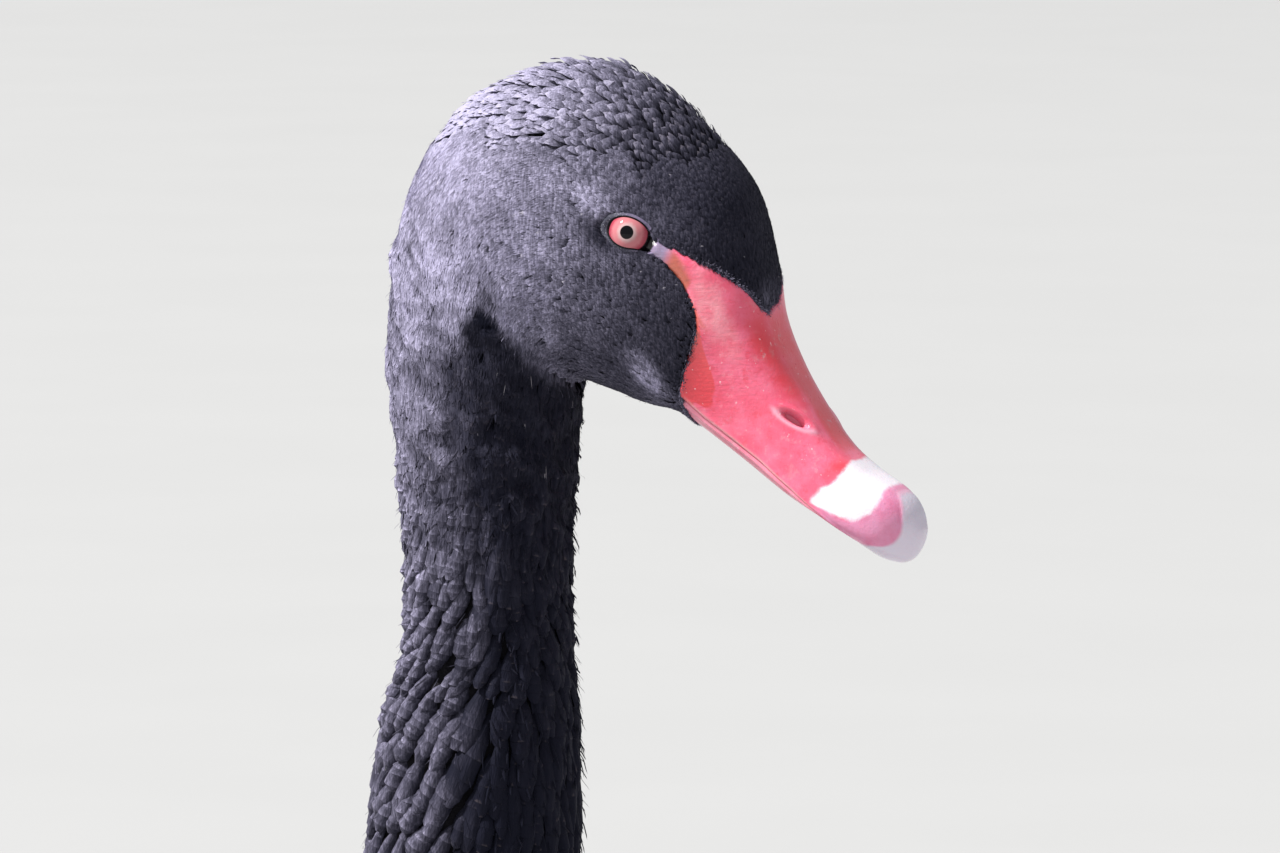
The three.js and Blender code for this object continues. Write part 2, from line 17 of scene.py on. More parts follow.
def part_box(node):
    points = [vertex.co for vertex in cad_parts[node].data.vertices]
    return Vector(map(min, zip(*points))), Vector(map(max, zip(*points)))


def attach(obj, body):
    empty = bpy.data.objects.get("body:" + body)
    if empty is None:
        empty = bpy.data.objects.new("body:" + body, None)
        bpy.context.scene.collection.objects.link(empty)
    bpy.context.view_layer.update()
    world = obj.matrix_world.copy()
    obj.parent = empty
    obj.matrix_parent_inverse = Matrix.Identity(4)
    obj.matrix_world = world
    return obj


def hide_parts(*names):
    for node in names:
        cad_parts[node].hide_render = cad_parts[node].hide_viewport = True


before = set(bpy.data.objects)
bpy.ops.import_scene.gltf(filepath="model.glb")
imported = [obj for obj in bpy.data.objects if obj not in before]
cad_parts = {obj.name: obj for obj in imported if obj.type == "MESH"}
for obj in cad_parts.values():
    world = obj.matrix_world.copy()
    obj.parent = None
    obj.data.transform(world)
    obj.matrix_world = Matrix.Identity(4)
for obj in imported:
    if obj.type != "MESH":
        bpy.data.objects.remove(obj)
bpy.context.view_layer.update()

# Driving sizes

MM = 0.001
THROAT = (155.0, 880.0)  # x and z of the corner where the throat meets the neck
EYE = dict(station=10.3, angle=math.radians(73.5), radius=6.6, sunk=4.8, tilt=math.radians(-16))
OPENING = dict(length=5.25, height=3.7, corner=1.6, droop=0.30)  # half sizes of the eye's opening
IRIS = dict(iris=4.95, pupil=1.65)
NOSTRIL = dict(
    station=4.94, angle=math.radians(51), length=4.1, width=1.4, depth=2.6, tilt=math.radians(-22)
)
MANDIBLE_INSET = 0.3  # of the lower bill inside the body's outline
NOWHERE = 9.0  # stands for a distance too far to count
FORM_REACH = 1.6  # stations that a feather may reach from its root
LEG = dict(y=57, hock_x=-34, hock_z=122, ankle_x=-10, ankle_z=21, turn_in=math.radians(6))
TOE = dict(inner=88, middle=112, outer=106, hind=20, spread=math.radians(27), height=11, tip=5.4)
CLAW = dict(length=13, radius=2.3)
TAIL = dict(cut_x=-292, fan_x=-262, z=249, droop=math.radians(7), spread=math.radians(27), roof=0.14)
WING = dict(front_x=176, rear_x=-262, rim=5, depth=20, first_row=180, row=60, midline=3)
SIDES = {"left": 1, "right": -1}
CRISP = math.radians(70)  # edges of feathers sharper than this are shaded as edges

# Sections of the bill and head: back x, back z, front x, front z, half width,
# where it is widest from front to back, and how boxy it is
HEAD_SECTIONS = np.array([
    (117.4, -34.8, 111.9, -42.3, 3.5, 0.5, 0.8),
    (115, -28.8, 107.3, -41, 8.6, 0.45, 0.75),
    (110.6, -24.1, 101.9, -37.4, 11.2, 0.4, 0.68),
    (102.6, -19.2, 94.2, -32.8, 12.2, 0.36, 0.62),
    (95.8, -13.3, 83.4, -26.6, 11.9, 0.36, 0.6),
    (89, -3.9, 71.1, -17.8, 12.2, 0.36, 0.6),
    (82.7, 6.2, 60.9, -10.5, 14, 0.38, 0.6),
    (77.8, 17.6, 54.3, -6.4, 16.4, 0.4, 0.64),
    (76, 30.5, 47.6, -5.4, 19, 0.42, 0.78),
    (71, 49, 41.6, -4.1, 21.6, 0.44, 0.9),
    (60, 62.8, 35.7, -2.2, 23.5, 0.44, 1),
    (46.5, 73.6, 30.5, -0.8, 24.3, 0.45, 1),
    (30.5, 79.3, 27, 0.3, 24.8, 0.46, 1),
    (14, 77.3, 25, -0.5, 25, 0.48, 1),
    (-2, 70.2, 24.6, -1.2, 25, 0.5, 1),
    (-13.5, 58.3, 24.2, -3, 24.6, 0.5, 1),
    (-20.6, 43, 23.9, -6, 24.1, 0.5, 1),
    (-24, 26, 23.4, -11, 23.6, 0.5, 1),
    (-24.5, 8, 22.8, -18, 23, 0.5, 1),
    (-23.3, -12, 22.4, -26, 22.4, 0.5, 1),
    (-21.7, -34, 21.6, -38, 21.6, 0.5, 1),
    (-20.8, -55, 21.3, -56, 21.1, 0.5, 1),
    (-21.9, -71, 22.2, -70.5, 22, 0.5, 1),
    (-26.3, -84, 23, -82, 24.5, 0.5, 1),
    (-28.6, -98, 23.4, -96, 26, 0.5, 1),
    (-31.3, -121, 23.3, -119, 27.3, 0.5, 1),
])
# Rings of the neck: height and centre from the throat corner, and radius
NECK_RINGS = [
    (-155, -6.5, 29), (-200, -8, 31), (-250, -7, 33), (-300, -2.5, 35.5), (-345, 4, 38), (-390, 12.5, 42.5),
]
# Sections of the trunk, from the base of the neck to the root of the tail
TRUNK_SECTIONS = np.array([
    (123, 446, 229, 428, 54, 0.5, 1),
    (112, 417, 248, 375, 72, 0.5, 1),
    (92, 402, 257, 315, 88, 0.5, 1),
    (55, 397, 240, 255, 100, 0.5, 1),
    (5, 391, 195, 205, 108, 0.5, 1),
    (-50, 378, 125, 170, 111, 0.5, 1),
    (-105, 360, 40, 153, 109, 0.5, 1),
    (-160, 338, -50, 153, 101, 0.5, 1),
    (-212, 313, -135, 168, 87, 0.5, 1),
    (-258, 290, -205, 190, 67, 0.5, 1),
    (-295, 272, -262, 212, 47, 0.5, 1),
    (-325, 258, -308, 232, 30, 0.5, 1),
    (-345, 250, -338, 241, 12, 0.5, 1),
])
# The hull that the folded wings lie on, in rows from front to back: height of its middle,
# half height, half width, and its upper and lower edge in degrees from the top
HULL_ROWS = np.array([
    (300, 92, 96, 58, 112),
    (289, 116, 113, 38, 120),
    (281, 125, 121, 23, 122),
    (273, 126, 122, 15, 121),
    (268, 119, 118, 12, 118),
    (266, 104, 110, 10, 115),
    (267, 84, 97, 9, 110),
    (269, 60, 79, 9, 105),
    (269, 38, 56, 12, 98),
    (267, 22, 34, 25, 88),
    (263, 12, 20, 40, 80),
], float)


def sections():
    head = HEAD_SECTIONS + np.array([THROAT[0], THROAT[1], THROAT[0], THROAT[1], 0, 0, 0])
    neck = [
        (THROAT[0] + x - r, THROAT[1] + z, THROAT[0] + x + r, THROAT[1] + z, r, 0.5, 1)
        for z, x, r in NECK_RINGS
    ]
    return np.vstack([head, neck, TRUNK_SECTIONS])


SECTIONS = sections()
LAST = len(SECTIONS) - 1


# Shape of the body


def between(rows, place):
    """Smooth values between the rows of a table, at places counted in rows."""
    rows = np.asarray(rows, float)
    padded = np.vstack([2 * rows[0] - rows[1], rows, 2 * rows[-1] - rows[-2]])
    place = np.asarray(place, float)
    i = np.clip(np.floor(place).astype(int), 0, len(rows) - 2)
    f = (place - i)[..., None]
    a, b, c, d = (padded[i + k] for k in range(4))
    return 0.5 * (
        2 * b + (c - a) * f + (2 * a - 5 * b + 4 * c - d) * f**2 + (3 * b - a - 3 * c + d) * f**3
    )


def step(low, high, x):
    """0 below low, 1 above high, and smooth between."""
    f = np.clip((x - low) / (high - low), 0, 1)
    return f * f * (3 - 2 * f)


def norm(v):
    return np.linalg.norm(v, axis=-1)


def unit(v):
    return v / np.maximum(norm(v)[..., None], 1e-12)


def bell(x, middle, width):
    """1 at the middle, and down to nearly 0 at twice the width from it."""
    return np.exp(-(((x - middle) / width) ** 2))


def full_turn(count):
    return np.linspace(0, 2 * np.pi, count, endpoint=False)


def on_grid(grid, row, column, smooth=False):
    """Between the values of a grid that closes on itself, at places counted in rows and columns."""
    rows, columns = grid.shape[:2]
    i, j = np.floor(row).astype(int), np.floor(column).astype(int)
    f, g = row - i, column - j
    if smooth:
        f, g = step(0, 1, f), step(0, 1, g)
    if grid.ndim == 3:
        f, g = f[..., None], g[..., None]
    a, b = grid[i % rows, j % columns], grid[i % rows, (j + 1) % columns]
    c, d = grid[(i + 1) % rows, j % columns], grid[(i + 1) % rows, (j + 1) % columns]
    return (a * (1 - g) + b * g) * (1 - f) + (c * (1 - g) + d * g) * f


def power(value, exponent):
    return np.sign(value) * np.abs(value) ** exponent


def core(station):
    s = between(SECTIONS, station)
    widest = s[..., 5]
    x = s[..., 2] + (s[..., 0] - s[..., 2]) * widest
    z = s[..., 3] + (s[..., 1] - s[..., 3]) * widest
    return np.stack([x, np.zeros_like(x), z], -1)


def body(station, angle):
    """The outside of the coat, in the tables' millimetres. The angle runs from the back over
    the left side to the front."""
    station, angle = np.broadcast_arrays(np.asarray(station, float), np.asarray(angle, float))
    s = between(SECTIONS, station)
    middle = core(station)
    up = np.cos(angle)
    back = np.stack([s[..., 0], np.zeros_like(up), s[..., 1]], -1)
    front = np.stack([s[..., 2], np.zeros_like(up), s[..., 3]], -1)
    end = np.where((up > 0)[..., None], back, front)
    boxy = s[..., 6]
    point = middle + (end - middle) * (np.abs(up) ** boxy)[..., None]
    point[..., 1] = s[..., 4] * power(np.sin(angle), boxy)
    return point


def body_frame(station, angle, small=0.02):
    """Outward normal, and how far a step in station or in angle goes."""
    along = (body(station + small, angle) - body(station - small, angle)) / (2 * small)
    around = (body(station, angle + small) - body(station, angle - small)) / (2 * small)
    normal = unit(np.cross(along, around))
    inward = np.sum(normal * (body(station, angle) - core(station)), -1) < 0
    return np.where(inward[..., None], -normal, normal), along, around


def lengthwise(tilt, out):
    """The way ahead at this tilt from level, turned to lie at right angles to out."""
    way = np.array([math.cos(tilt), 0, math.sin(tilt)])
    return unit(way - out * np.dot(way, out))


def eye_frame(side):
    """Middle of the eyeball and the point of the cheek over it, with its long, short and out ways."""
    station, angle = np.array(EYE["station"]), np.array(side * EYE["angle"])
    out = body_frame(station, angle, 0.01)[0]
    long = lengthwise(EYE["tilt"], out)
    rim = body(station, angle)
    return dict(out=out, long=long, short=np.cross(out, long), rim=rim, centre=rim - out * EYE["sunk"])


def frame_shift():
    """From the tables' millimetres to the frame's, found from where the eyes are."""
    shifts = []
    for name, side in SIDES.items():
        low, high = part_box(f"eye_{name}")
        shifts.append(np.array((low + high) / 2) / MM - eye_frame(side)["centre"])
    return np.mean(shifts, 0)


SHIFT = frame_shift()


def placed(points):
    """Table millimetres to metres of the frame."""
    return (points + SHIFT) * MM


# Fields over the body: depth of the coat, lie of the feathers, paleness, the bare face.
# A table here is a pair of lists: stations, and the value at each of them.

COAT_DEPTH = ([6, 8, 10, 12, 17, 21, 26, 32, 35, 41, 44], [0.7, 0.9, 1.2, 2, 2.4, 2.8, 3.6, 5, 6.5, 6, 4])
LUMP_HEIGHT = ([7, 9, 12, 15, 17, 19, 21, 22.5, 40], [0, 0.06, 0.25, 0.7, 1.7, 1.9, 1.4, 0.6, 0.4])
CHEEK_LIE = ([7, 9, 12, 15, 18], [0.0, 0.05, 0.15, 0.1, 0.0])
NECK_LIE = ([15, 18, 20, 22, 26, 30, 33], [0, -0.06, -0.22, -0.38, -0.42, -0.36, 0])


def coat_depth(station):
    return np.interp(station, *COAT_DEPTH)


# Where feathers begin, as a station for each angle from the back: the widow's peak, up to the
# front corner of the eye, down the front of the cheek, and along the chin
BARE_ANGLES = np.radians([
    0, 12, 24, 38, 52, 61.5, 65.5, 68, 69.5, 73.5, 74.8, 75, 75.8, 79.5, 86, 90, 96.5, 105.5, 123, 150, 180
])
BARE_STATIONS = [
    7.08, 7.26, 7.58, 8.0, 8.4, 8.78, 9.12, 9.5, 9.85, 9.85, 9.2, 8.8, 8.3, 8.0, 7.82, 7.62, 7.36, 7.2,
    6.76, 6.3, 6.2,
]
PEAK_LEAN = math.radians(8)  # how far the widow's peak leans to the right side


def wrapped(angle):
    return (angle + np.pi) % (2 * np.pi) - np.pi


def bare_edge(angle):
    around = wrapped(angle)
    around = around + PEAK_LEAN * step(math.radians(70), math.radians(10), np.abs(around))
    return np.interp(np.abs(around), BARE_ANGLES, BARE_STATIONS)


def edge_slope(angle, small):
    """How many stations the edge of the feathers goes for a step in angle."""
    return (bare_edge(angle + small) - bare_edge(angle - small)) / (2 * small)


def edge_distance(station, angle):
    """Millimetres from the edge of the feathers, above 0 inside them."""
    _, along, around = body_frame(station, angle)
    length, girth = norm(along), np.maximum(norm(around), 1e-3)
    slope = edge_slope(angle, 0.01)
    return (station - bare_edge(angle)) * length / np.sqrt(1 + (slope * length / girth) ** 2)


def neck_arc():
    """Length along the body's axis at fine steps of the station."""
    stations = np.linspace(0, LAST, LAST * 20 + 1)
    steps = norm(np.diff(core(stations), axis=0))
    return stations, np.append(0, np.cumsum(steps))


ARC_STATIONS, ARC_LENGTHS = neck_arc()


def arc(station):
    return np.interp(station, ARC_STATIONS, ARC_LENGTHS)


RUMPLE_CHANCE = np.random.default_rng(12).random((128, 128))
GIRTH_RADIUS = 25  # of the neck, in millimetres, for the size of the lumps round it


def rumple(station, angle, size):
    """Soft lumps of the given size in millimetres, from -1 to 1."""
    row, column = arc(station) / size + 40, wrapped(angle) * GIRTH_RADIUS / size + 40
    return on_grid(RUMPLE_CHANCE, row, column, True) * 2 - 1


def lumps(station, angle):
    return 0.6 * rumple(station, angle, 5.2) + 0.4 * rumple(station + 3, angle + 0.4, 2.7)


def coat_height(station, angle):
    """How far the tips of the feathers stand off the body's own shape, in mm."""
    return np.interp(station, *LUMP_HEIGHT) * lumps(station, angle)


def lie(station, angle):
    """Heading of the feathers from the way that the stations run, towards the back if negative."""
    around = wrapped(angle)
    a = np.abs(around)
    turn = np.interp(station, *CHEEK_LIE) + np.interp(station, *NECK_LIE)
    turn = turn * step(math.radians(10), math.radians(45), a) * step(math.radians(150), math.radians(96), a)
    return np.sign(around) * turn


def blob(t, a, station, angle, long, wide):
    """1 at a place of the body and 0 past an oval round it; the angles are in degrees."""
    return step(1.0, 0.2, np.sqrt(((t - station) / long) ** 2 + ((a - angle) / wide) ** 2))


# How grey the feathers are on crown and nape, on cheek and side, and on chin and throat: partly
# their own grey and partly painted sheen where the key light grazes the back of the head and the nape
CROWN_GREY = (
    [7, 9, 10, 11, 12, 12.7, 13.5, 14.5, 17, 19, 20, 24.5, 27, 31, 34, 40],
    [0.03, 0.05, 0.13, 0.29, 0.57, 0.74, 1.0, 1.2, 0.75, 0.41, 0.37, 0.20, 0.14, 0.08, 0.05, 0.05],
)
CHEEK_GREY = (
    [7, 8, 9.5, 10.5, 11.5, 13, 15, 16.4, 17.4, 19, 20.5, 22, 24.5, 27, 31, 34, 40],
    [0.06, 0.08, 0.16, 0.28, 0.48, 0.77, 1.15, 0.95, 0.36, 0.21, 0.22, 0.20, 0.19, 0.13, 0.08, 0.05, 0.05],
)
THROAT_GREY = (
    [7, 8, 9.5, 12, 14, 14.8, 15.4, 20, 26, 32, 36],
    [0.3, 0.35, 0.2, 0.28, 0.45, 0.4, 0.04, 0.015, 0.0, 0.02, 0.08],
)
# Where the dark of the throat begins, partly its own and partly painted shade that follows the line
# between the neck's lit and shaded side, in degrees from the back, and how soft that border is
THROAT_SHADE_LINE = (
    [11, 13.4, 14.6, 15.4, 17, 18.6, 20.2, 21.2, 22.7, 30],
    [116, 124, 126, 102, 89, 97, 105, 107, 100, 97],
)
THROAT_SHADE_SOFT = ([12, 14.5, 17, 19, 22, 30], [12, 6, 9, 13, 13, 12])
LUMP_SHADE = ([9, 12, 15.5, 17, 21, 24], [0, 0.15, 0.25, 0.75, 0.6, 0.2])  # how far the hollows between lumps are painted darker as shade, and their tops lighter


def paleness(station, angle):
    """How grey the feathers are: velvet black on the forehead, lilac grey on the back of the head. The grey
    is partly their own and partly painted sheen where the key light grazes them, and painted shade
    darkens the neck's shaded front and the hollows between lumps.
    """
    a = np.degrees(np.abs(wrapped(angle)))
    crown, cheek, under = (np.interp(station, *table) for table in (CROWN_GREY, CHEEK_GREY, THROAT_GREY))
    # past this line the throat's grey takes over: painted shade of the neck's shaded front
    line = np.interp(station, *THROAT_SHADE_LINE) + 8 * rumple(station, angle, 5.0)
    low, lowest = step(45, 80, a), step(-1, 1, (a - line) / np.interp(station, *THROAT_SHADE_SOFT))
    jaw = 0.8 * blob(station, a, 8.5, 121, 1.25, 17) * (0.75 + 0.9 * rumple(station, angle, 1.5))
    # the patch low on the cheek at station 12.7 is painted light where the key light catches the feathers
    jaw = jaw + 0.4 * blob(station, a, 12.7, 133, 1.2, 12)
    ear = blob(station, a, 14.9, 70, 0.8, 8) * 0.3 + blob(station, a, 15.0, 104, 0.9, 13) * 0.8
    brow = 0.5 * blob(station, a, 11.2, 71.5, 0.8, 7) - 0.3 * blob(station, a, 11.0, 82, 0.7, 6)
    peak = 0.25 * blob(station, a, 7.2, 7, 0.75, 26)
    whole = (crown * (1 - low) + cheek * low) * (1 - lowest) + under * lowest + jaw + brow + peak - ear
    return np.clip(whole * (1 + np.interp(station, *LUMP_SHADE) * lumps(station, angle)), 0, 1.2)


# Meshes


def new_object(name, points, faces, material, attributes=None, uv=None, crisp=None):
    """A smooth mesh object from points in metres and arrays of faces with 3 or 4 corners.
    Edges sharper than the angle called crisp are shaded as edges."""
    points = np.asarray(points, float).reshape(-1, 3)
    faces = outward(points, faces)
    mesh = bpy.data.meshes.new(name)
    corners = np.concatenate([f.ravel() for f in faces]).astype(np.int32)
    sizes = np.concatenate([np.full(len(f), f.shape[1]) for f in faces])
    starts = np.concatenate([[0], np.cumsum(sizes)[:-1]]).astype(np.int32)
    mesh.vertices.add(len(points))
    mesh.vertices.foreach_set("co", points.astype(np.float32).ravel())
    mesh.loops.add(len(corners))
    mesh.loops.foreach_set("vertex_index", corners)
    mesh.polygons.add(len(sizes))
    mesh.polygons.foreach_set("loop_start", starts)
    mesh.polygons.foreach_set("use_smooth", np.ones(len(sizes), bool))
    mesh.update(calc_edges=True)
    if crisp:
        mesh.set_sharp_from_angle(angle=crisp)
    for key, values in (attributes or {}).items():
        layer = mesh.attributes.new(key, "FLOAT", "POINT")
        layer.data.foreach_set("value", np.asarray(values, np.float32).ravel())
    if uv is not None:
        layer = mesh.uv_layers.new(name="OFBake")
        layer.data.foreach_set("uv", np.asarray(uv, np.float32).reshape(-1, 2)[corners].ravel())
    mesh.materials.append(material)
    made = bpy.data.objects.new(name, mesh)
    bpy.context.scene.collection.objects.link(made)
    return made


def outward(points, faces):
    """The faces of a closed form, turned round if they look into it."""
    points = points - points.mean(0)
    volume = 0.0
    for f in faces:
        for k in range(1, f.shape[1] - 1):
            volume += np.sum(np.cross(points[f[:, 0]], points[f[:, k]]) * points[f[:, k + 1]])
    return [f[:, ::-1] for f in faces] if volume < 0 else faces


def grid_quads(rows, columns):
    """Quads of a grid of points that is open on all sides."""
    r, c = np.meshgrid(np.arange(rows), np.arange(columns), indexing="ij")
    a = (r * (columns + 1) + c).ravel()
    return np.stack([a, a + 1, a + columns + 2, a + columns + 1], -1)


def repeated(faces, count, each, start=0):
    """The same faces for each of many forms with the same number of points."""
    shift = (np.arange(count) * each)[:, None, None] + start
    return (faces[None] + shift).reshape(-1, faces.shape[1])


def tube(grid):
    """Points and faces of a closed tube from a grid of points, ring by ring, with a fan to a
    last point at each end."""
    rings, sides = grid.shape[:2]
    points = np.vstack([grid.reshape(-1, 3), grid[0].mean(0), grid[-1].mean(0)])
    ring, side = np.meshgrid(np.arange(rings - 1), np.arange(sides), indexing="ij")
    a = ring * sides + side
    b = ring * sides + (side + 1) % sides
    quads = np.stack([a, b, b + sides, a + sides], -1).reshape(-1, 4)
    i = np.arange(sides)
    j = (i + 1) % sides
    last, tip = (rings - 1) * sides, np.full(sides, rings * sides)
    near = np.stack([j, i, tip], -1)
    far = np.stack([last + i, last + j, tip + 1], -1)
    return points, (quads, np.vstack([near, far]))


class Build:
    """Collects closed forms into one mesh."""

    def __init__(self):
        self.points, self.quads, self.triangles = [], [], []
        self.values, self.count = {}, 0

    def add(self, points, faces, **values):
        points = np.asarray(points, float).reshape(-1, 3)
        for f in outward(points, faces):
            (self.quads if f.shape[1] == 4 else self.triangles).append(f + self.count)
        self.points.append(points)
        self.count += len(points)
        for key, value in values.items():
            self.values.setdefault(key, []).append(np.broadcast_to(np.ravel(value), len(points)))

    def make(self, name, material):
        faces = [np.vstack(f) for f in (self.quads, self.triangles) if f]
        values = {key: np.concatenate(parts) for key, parts in self.values.items()}
        return new_object(name, np.vstack(self.points), faces, material, values)


# Materials


class Nodes:
    """A material's node tree, with short calls for what the materials here need."""

    def __init__(self, name, **sockets):
        self.material = bpy.data.materials.new(name)
        self.material.use_nodes = True
        self.tree = self.material.node_tree
        self.shader = self.tree.nodes["Principled BSDF"]
        for key, value in sockets.items():
            self.shader.inputs[key.replace("_", " ")].default_value = value

    def node(self, kind, **settings):
        made = self.tree.nodes.new(kind)
        for key, value in settings.items():
            if hasattr(made, key):
                setattr(made, key, value)
            else:
                made.inputs[key.replace("_", " ")].default_value = value
        return made

    def link(self, source, target):
        self.tree.links.new(source, target)

    def field(self, name):
        return self.node("ShaderNodeAttribute", attribute_name=name).outputs["Fac"]

    def noise(self, scale, detail=3.0, roughness=0.55, stretch=None):
        made = self.node("ShaderNodeTexNoise", Scale=scale, Detail=detail, Roughness=roughness)
        place = self.node("ShaderNodeTexCoord").outputs["Object"]
        if stretch:
            mapping = self.node("ShaderNodeMapping")
            mapping.inputs["Scale"].default_value = stretch
            self.link(place, mapping.inputs["Vector"])
            place = mapping.outputs["Vector"]
        self.link(place, made.inputs["Vector"])
        return made.outputs["Fac"]

    def math(self, operation, *values):
        made = self.node("ShaderNodeMath", operation=operation)
        for i, value in enumerate(values):
            if isinstance(value, (int, float)):
                made.inputs[i].default_value = value
            else:
                self.link(value, made.inputs[i])
        return made.outputs[0]

    def times(self, first, second):
        return self.math("MULTIPLY", first, second)

    def scaled(self, source, gain, offset):
        """The source times the gain, plus the offset."""
        return self.math("MULTIPLY_ADD", source, gain, offset)

    def centred(self, source):
        """The source less one half."""
        return self.math("SUBTRACT", source, 0.5)

    def ramp(self, source, low, high):
        """0 where the source is under low, 1 over high."""
        made = self.node("ShaderNodeMapRange", interpolation_type="SMOOTHSTEP")
        made.inputs["From Min"].default_value = low
        made.inputs["From Max"].default_value = high
        self.link(source, made.inputs["Value"])
        return made.outputs["Result"]

    def mix(self, factor, first, second):
        made = self.node("ShaderNodeMix", data_type="RGBA")
        for value, socket in ((factor, 0), (first, 6), (second, 7)):
            if isinstance(value, (int, float)):
                made.inputs[socket].default_value = value
            elif isinstance(value, tuple):
                made.inputs[socket].default_value = (*value, 1)
            else:
                self.link(value, made.inputs[socket])
        return made.outputs[2]

    def bump(self, height, distance, strength=1.0):
        made = self.node("ShaderNodeBump", Strength=strength, Distance=distance)
        self.link(height, made.inputs["Height"])
        self.link(made.outputs["Normal"], self.shader.inputs["Normal"])

    def colour(self, source):
        self.link(source, self.shader.inputs["Base Color"])

    def roughness(self, source):
        self.link(source, self.shader.inputs["Roughness"])


DARK_FEATHER = (0.0072, 0.0077, 0.0158)
# lilac grey: partly the feathers' own grey, partly painted sheen where the key light catches them
PALE_FEATHER = (0.455, 0.425, 0.59)
DARK_EDGE = (0.13, 0.105, 0.11)  # of the tips where the feathers are dark: partly their own pale edges, partly painted highlight
PALE_EDGE = (0.46, 0.43, 0.56)  # and where they are pale


def plumage_material():
    n = Nodes(
        "plumage", Roughness=0.72, Sheen_Weight=0.04, Sheen_Roughness=0.4, Sheen_Tint=(0.80, 0.78, 1.0, 1),
        Specular_IOR_Level=0.06,
    )
    along, across, shade, pale = n.field("tip"), n.field("across"), n.field("shade"), n.field("pale")
    local = n.node("ShaderNodeCombineXYZ")
    n.link(n.times(across, 4.2), local.inputs[0])
    n.link(n.times(along, 1.3), local.inputs[1])
    n.link(n.times(shade, 91.0), local.inputs[2])
    barbs = n.node("ShaderNodeTexNoise", Scale=1.0, Detail=2.0, Roughness=0.6)
    n.link(local.outputs[0], barbs.inputs["Vector"])
    fibre = n.ramp(barbs.outputs["Fac"], 0.33, 0.67)
    grain = n.ramp(n.noise(2600, 3, 0.6), 0.32, 0.70)
    streak = n.noise(2000, 2, 0.6, stretch=(1, 1, 0.13))
    broad = n.scaled(n.noise(75, 5, 0.68), 1.7, 0.15)
    grey = n.times(pale, n.scaled(n.ramp(along, 0.45, 1.0), 0.45, 0.55))
    grey = n.times(grey, n.scaled(shade, 0.4, 0.8))
    grey = n.times(n.times(grey, broad), n.scaled(grain, 0.35, 0.85))
    grey = n.times(grey, n.scaled(fibre, 0.5, 0.75))
    strong = n.scaled(pale, -0.35, 0.85)
    streaked = n.scaled(n.centred(n.ramp(streak, 0.38, 0.68)), strong, 1.0)
    grey = n.times(grey, streaked)
    base = n.mix(grey, DARK_FEATHER, PALE_FEATHER)
    # pale tips: partly the feathers' own pale edges, partly a painted highlight where the light catches them
    rim = n.times(n.ramp(along, 0.84, 0.95), n.ramp(shade, 0.15, 0.95))
    rim = n.times(rim, n.scaled(fibre, 0.5, 0.5))
    rim = n.times(rim, n.scaled(pale, 0.7, 0.42))
    base = n.mix(rim, base, n.mix(n.ramp(pale, 0.04, 0.4), DARK_EDGE, PALE_EDGE))
    n.colour(n.mix(n.field("speck"), base, (0.66, 0.62, 0.68)))
    n.roughness(n.scaled(grain, 0.2, 0.58))
    n.bump(n.scaled(fibre, 1.6, n.noise(3800, 2)), 0.00008, 0.7)
    return n.material


def skin_material():
    n = Nodes("feather_base", Roughness=0.9, Specular_IOR_Level=0.1)
    # greyer where the feathers are paler, painted sheen included
    grey = n.times(n.field("pale"), n.ramp(n.noise(900, 3), 0.4, 0.8))
    n.colour(n.mix(grey, (0.006, 0.0055, 0.0075), (0.05, 0.045, 0.055)))
    n.bump(n.noise(1500, 4), 0.0004)
    return n.material


def vane_material(name, dark, edge):
    """Flight and contour feathers: barbs slant out from the shaft, the rim is paler."""
    n = Nodes(
        name, Roughness=0.6, Sheen_Weight=0.08, Sheen_Roughness=0.4, Sheen_Tint=(0.8, 0.76, 0.9, 1),
        Specular_IOR_Level=0.16,
    )
    across = n.math("ABSOLUTE", n.field("across"))
    along = n.field("tip")
    barbs = n.math("SINE", n.scaled(along, 420.0, n.times(across, -70.0)))
    rim = n.math("MAXIMUM", n.ramp(across, 0.72, 1.0), n.ramp(along, 0.86, 1.0))
    wear = n.times(rim, n.ramp(n.noise(260, 4), 0.25, 0.7))
    shade = n.scaled(n.field("shade"), 0.5, 0.35)
    fade = n.times(n.times(n.ramp(n.noise(60, 3), 0.3, 0.8), shade), 0.5)
    base = n.mix(n.math("MAXIMUM", n.times(wear, shade), fade), dark, edge)
    base = n.mix(n.ramp(across, 0.05, 0.02), base, tuple(0.6 * c for c in dark))
    n.colour(base)
    n.roughness(n.scaled(n.noise(300, 3), 0.3, 0.4))
    n.bump(n.scaled(n.noise(1400, 2, stretch=(1, 3, 3)), 1.4, barbs), 0.00012, 0.7)
    return n.material


